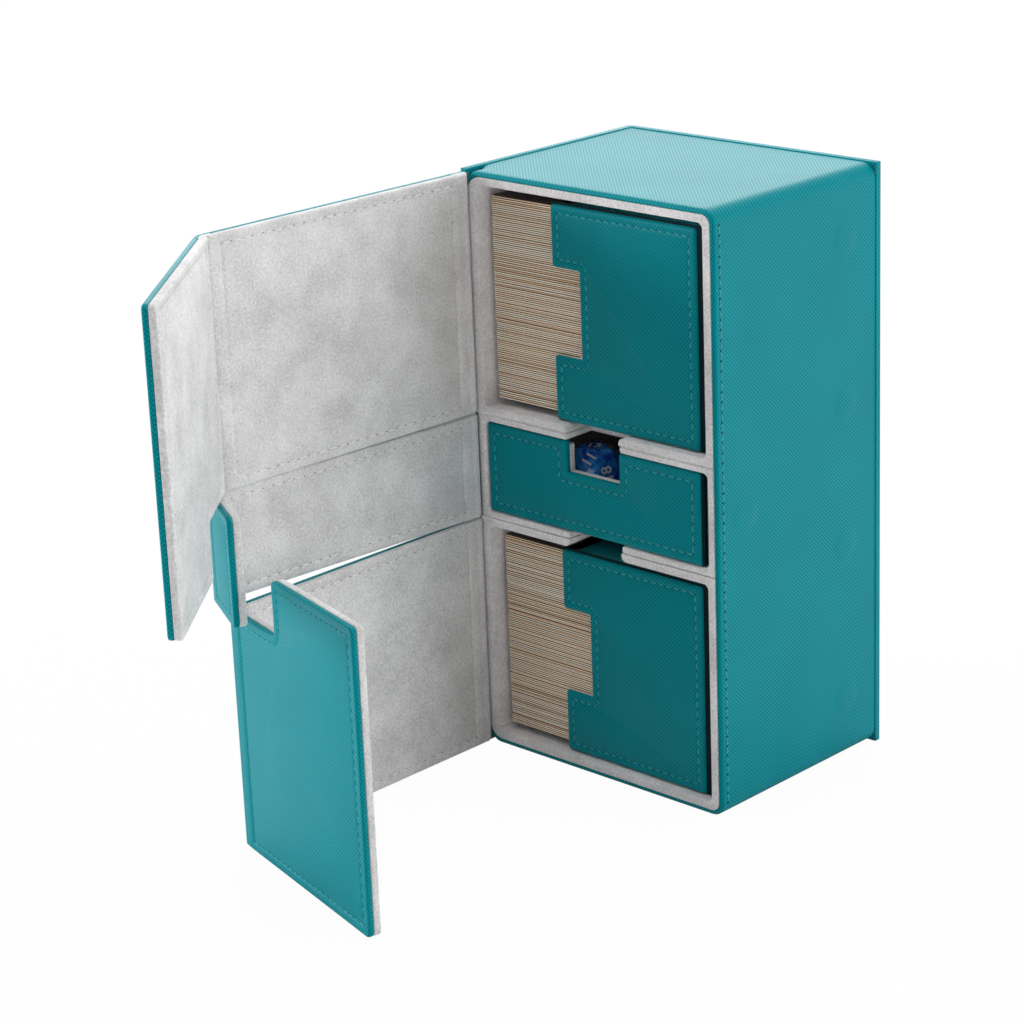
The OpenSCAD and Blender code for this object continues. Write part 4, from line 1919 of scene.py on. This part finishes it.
@dataclass
class Drawer:
    """The drawer: a stitched front with a finger notch, a suede box, its lining and a die."""

    shop: Workshop
    seam_inset: float = 3.3
    front_gap: float = 1.45
    notch_width: float = 23.5
    notch_depth: float = 11.0
    corner: float = 0.6
    notch_corner: float = 0.5
    box_round: float = 0.35
    lining_round: float = 0.3

    def build(self) -> None:
        """Builds the front, the box and the die."""
        self._front()
        shop, suede = self.shop, self.shop.palette.suede
        for part, width in (("box", self.box_round), ("lining", self.lining_round)):
            shop.soft(f"drawer_{part}", f"drawer_{part}_suede", width, suede, "suede", "drawer")
        Die(self.shop).build()

    def _front(self) -> None:
        """Lofts the notched front and sews round its edge."""
        low, high = self.shop.frame.box("drawer_front")
        middle = (low.x + high.x) / 2
        a, b = middle - self.notch_width / 2, middle + self.notch_width / 2
        floor = high.z - self.notch_depth
        board, padded = (
            Outline(
                (
                    Corner(low.x, low.z, self.corner),
                    Corner(high.x - right, low.z, self.corner),
                    Corner(high.x - right, high.z, self.corner),
                    Corner(b, high.z, self.notch_corner),
                    Corner(b, floor, self.notch_corner),
                    Corner(a, floor, self.notch_corner),
                    Corner(a, high.z, self.notch_corner),
                    Corner(low.x, high.z, self.corner),
                )
            )
            for right in (0.0, self.front_gap)
        )
        front_slab(
            self.shop,
            "drawer",
            "drawer",
            "drawer_front",
            board,
            padded,
            low.y,
            high.y,
            self.seam_inset,
        )


def front_slab(
    shop: Workshop,
    name: str,
    body: str,
    node: str,
    board: Outline,
    padded: Outline,
    front: float,
    back: float,
    inset: float,
    seam_half: float = 0.9,
    seam_depth: float = 0.35,
    back_round: float = 0.15,
    board_front: float = 0.9,
    tuck: float = 0.12,
) -> None:
    """Builds a padded and stitched leatherette front, on a dark board that is painted shadow in the
    gap.

    Args:
        shop: The frame and the finishes.
        name: Start of the pieces' names.
        body: The body that they ride on.
        node: The node that they stand for.
        board: Outline of the board.
        padded: Outline of the padded leather before it.
        front: Its front face's Y.
        back: Its back face's Y.
        inset: Distance from the padded edge to the seam.
        seam_half: Half the width of the dip along the seam.
        seam_depth: How far the seam draws the leather in.
        back_round: Rounding of the leather's back edge.
        board_front: How far the board lies behind the front face.
        tuck: How far the board stays behind the leather where both end together.
    """
    profile = [
        *[(inset + seam_half * out, front + seam_depth * deep) for out, deep in SEAM_SHAPE],
        *[(x, front + y) for x, y in PADDED_EDGE],
        *arc(back_round, back - back_round, back_round, 180, 90, 2),
    ]
    pal = shop.palette
    leather = slab(padded, profile, in_row)
    made = piece(f"{name}_front_leather", leather, pal.leather.material(), "leatherette")
    shop.seat(made, body, node)
    # The board beside the front is near-black, as painted shadow in the gap.
    edge = slab(board, [(tuck, front + board_front), (tuck, back - back_round / 3)], in_row)
    made = piece(f"{name}_front_gap_shadow", edge, pal.edge_paint.material(), "leatherette")
    shop.seat(made, body, node)
    rows = Stitching(Seam.ON_LEATHER)
    for i in range(len(padded.corners)):
        start, end = padded.side(i, inset)
        rows.row(start, end, front + seam_depth, -1, in_row)
    rows.finish(f"{name}_front", body, pal.leather_thread, pal.needle_hole, "leatherette")


@dataclass
class Die:
    """A twenty-sided die of dyed resin, with a numeral on each face."""

    shop: Workshop
    rounding: float = 0.5
    numeral: float = 5.4
    weight: float = 0.1
    relief: float = 0.06

    def build(self) -> None:
        """Builds the die and its numerals."""
        resin = self.shop.palette.resin
        self.shop.soft("die", "die_resin", self.rounding, resin, "die_plastic", "drawer")
        for number, (centre, normal, up) in enumerate(self._faces(), start=1):
            self._numeral(number, centre, normal, up)

    def _faces(self) -> list[tuple[Vector, Vector, Vector]]:
        """Gives each face's middle, its normal and the way to one of its corners, in metres.

        Returns:
            One triple for each face.
        """
        mesh = bmesh.new()
        mesh.from_mesh(self.shop.frame.nodes["die"].data)
        faces = []
        for face in mesh.faces:
            middle = face.calc_center_median()
            up = (face.verts[0].co - middle).normalized()
            faces.append((middle.copy(), face.normal.copy(), up))
        mesh.free()
        return faces

    def _numeral(self, number: int, centre: Vector, normal: Vector, up: Vector) -> None:
        """Paints one numeral in low relief on a face.

        Args:
            number: The numeral.
            centre: The face's middle, in metres.
            normal: The face's normal.
            up: The numeral's upright.
        """
        text = bpy.data.curves.new(f"numeral_{number}", "FONT")
        text.body, text.size = str(number), self.numeral * MM
        text.align_x, text.align_y = "CENTER", "CENTER"
        text.extrude, text.offset = self.relief * MM, self.weight * MM
        writing = bpy.data.objects.new(f"numeral_{number}", text)
        bpy.context.scene.collection.objects.link(writing)
        across = up.cross(normal)
        turned = Matrix((across, up, normal)).transposed().to_4x4()
        solved = writing.evaluated_get(bpy.context.evaluated_depsgraph_get())
        data = bpy.data.meshes.new_from_object(solved)
        data.transform(Matrix.Translation(centre) @ turned)
        bpy.data.objects.remove(writing)
        data.materials.clear()
        data.materials.append(self.shop.palette.numeral.material())
        made = bpy.data.objects.new(f"die_numeral_{number}", data)
        bpy.context.scene.collection.objects.link(made)
        Workshop.seat(made, "drawer")


@dataclass
class Tray:
    """A card tray with a notched, stitched front, its lining, and a deck of cards."""

    shop: Workshop
    name: str
    wall: float = 1.2
    notch_height: float = 30.0
    notch_depth: float = 12.0
    notch_corner: float = 0.8
    ear_corner: float = 1.3
    corner: float = 1.3
    front_gap: tuple[float, float] = (2.6, 0.9)
    seam_inset: float = 3.0
    sleeve_corner: float = 0.3
    back_round: float = 0.5
    lining_round: float = 0.2
    count: int = 100
    card_corner: float = 0.8
    card_groove: float = 0.26
    card_edge: tuple[float, float] = (0.04, 0.26)
    drift: float = 0.2

    def build(self) -> None:
        """Builds the tray's body, its front and the deck."""
        self._sleeve()
        self._front()
        tray, suede = f"{self.name}_tray", self.shop.palette.suede
        self.shop.soft(f"{tray}_lining", f"{tray}_suede", self.lining_round, suede, "suede", tray)
        self._deck()

    def _front(self) -> None:
        """Lofts the C-shaped front and sews round its edge."""
        low, high = self.shop.frame.box(f"{self.name}_tray_shell")
        middle = (low.z + high.z) / 2
        a, b = middle - self.notch_height / 2, middle + self.notch_height / 2
        inner = low.x + self.notch_depth
        board, padded = (
            Outline(
                (
                    Corner(low.x, low.z, self.ear_corner),
                    Corner(high.x - right, low.z, self.corner),
                    Corner(high.x - right, high.z - up, self.corner),
                    Corner(low.x, high.z - up, self.ear_corner),
                    Corner(low.x, b, self.ear_corner),
                    Corner(inner, b, self.notch_corner),
                    Corner(inner, a, self.notch_corner),
                    Corner(low.x, a, self.ear_corner),
                )
            )
            for right, up in ((0.0, 0.0), self.front_gap)
        )
        tray = f"{self.name}_tray"
        back = low.y + self.wall
        front_slab(
            self.shop, tray, tray, f"{tray}_shell", board, padded, low.y, back, self.seam_inset
        )

    def _sleeve(self) -> None:
        """Wraps the top, the right side, the foot and the back of the tray.

        The hollow's outline runs out at the left, where the sleeve is open.
        """
        low, high = self.shop.frame.box(f"{self.name}_tray_shell")
        y0, y1, soft = low.y + self.wall, high.y, self.back_round
        outer = Outline.box(low.x, low.z, high.x, high.z, self.sleeve_corner, self.corner)
        inner = high.x - self.wall
        open_left = Outline(
            (
                Corner(low.x - 1, low.z + self.wall),
                Corner(inner, low.z + self.wall, self.corner - self.wall),
                Corner(inner, high.z - self.wall, self.corner - self.wall),
                Corner(low.x - 1, high.z - self.wall),
            )
        )
        back = slab(outer, [(0.0, y1 - self.wall), *arc(soft, y1 - soft, soft, 180, 90)], in_row)
        walls = self._channel(outer.ring(0.0), open_left.ring(0.0), y0, y1 - self.wall, low.x)
        finish = self.shop.palette.leather.material()
        made = piece(f"{self.name}_tray_sleeve", merged([back, walls]), finish, "leatherette")
        self.shop.seat(made, f"{self.name}_tray", f"{self.name}_tray_shell")

    @staticmethod
    def _channel(
        outer: list[tuple[float, float]],
        inner: list[tuple[float, float]],
        y0: float,
        y1: float,
        left: float,
    ) -> bmesh.types.BMesh:
        """Extrudes the C-shaped section between an outer and an inner outline.

        Args:
            outer: Points of the outer outline.
            inner: Points of the inner outline, of the same count.
            y0: Y of the front end.
            y1: Y of the back end.
            left: X of the open side.

        Returns:
            The channel.
        """
        per = len(outer) // 4
        rim = outer[per - 1 : 3 * per + 1]
        hollow = [(max(x, left), z) for x, z in inner[per - 1 : 3 * per + 1]]
        section = [(left, outer[0][1]), *rim[1:-1], (left, outer[2 * per][1])]
        section += [(x, z) for x, z in reversed(hollow)]
        return lofted([[in_row(x, y, z) for x, z in section] for y in (y0, y1)])

    def _deck(self) -> None:
        """Stacks the cards, each a little out of line."""
        low, high = self.shop.frame.box(f"{self.name}_deck")
        chance = random.Random(f"{self.name} deck")
        pitch, drift, corner = (high.z - low.z) / self.count, self.drift, self.card_corner
        gap, bevel = self.card_edge
        edge = ((self.card_groove, gap), (0.0, bevel))
        profile = (*edge, *((inset, 1 - share) for inset, share in reversed(edge)))
        x0, y0, x1, y1 = low.x + drift, low.y + drift, high.x - drift, high.y - drift
        cards = []
        for k in range(self.count):
            dx = chance.uniform(-drift, drift)
            dy = chance.uniform(-drift, drift)
            outline = Outline.box(x0 + dx, y0 + dy, x1 + dx, y1 + dy, corner, corner)
            foot = low.z + pitch * k
            rings = [
                [in_row(x, y, foot + pitch * share) for x, y in outline.ring(inset)]
                for inset, share in profile
            ]
            cards.append(lofted(rings))
        finish = CardStock(pitch, low.z)
        finish.name = f"{self.name}_card_stock"
        made = piece(f"{self.name}_cards", merged(cards), finish.material(), "cards")
        self.shop.seat(made, f"{self.name}_tray", f"{self.name}_deck")


def dress_hidden(shop: Workshop) -> None:
    """Gives the boards and magnets inside the walls their own finish.

    Args:
        shop: The frame and the finishes.
    """
    for name, node in shop.frame.nodes.items():
        if node.hide_render:
            continue
        slot = "board" if name.endswith("_board") else "magnet"
        look = {"board": shop.palette.board, "magnet": shop.palette.magnet}[slot]
        node.data.materials.clear()
        node.data.materials.append(look.material())
        LOG.info("%s keeps its shape", name)


def main() -> None:
    """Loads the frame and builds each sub-assembly in order."""
    logging.basicConfig(level=logging.INFO, format="%(name)s: %(message)s")
    frame = Frame(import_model())
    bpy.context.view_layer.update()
    Studio().build()
    shop = Workshop(frame, Palette())
    Case(shop).build()
    Doors(shop).build()
    Drawer(shop).build()
    for name in ("upper", "lower"):
        Tray(shop, name).build()
    dress_hidden(shop)


if __name__ == "__main__":
    main()
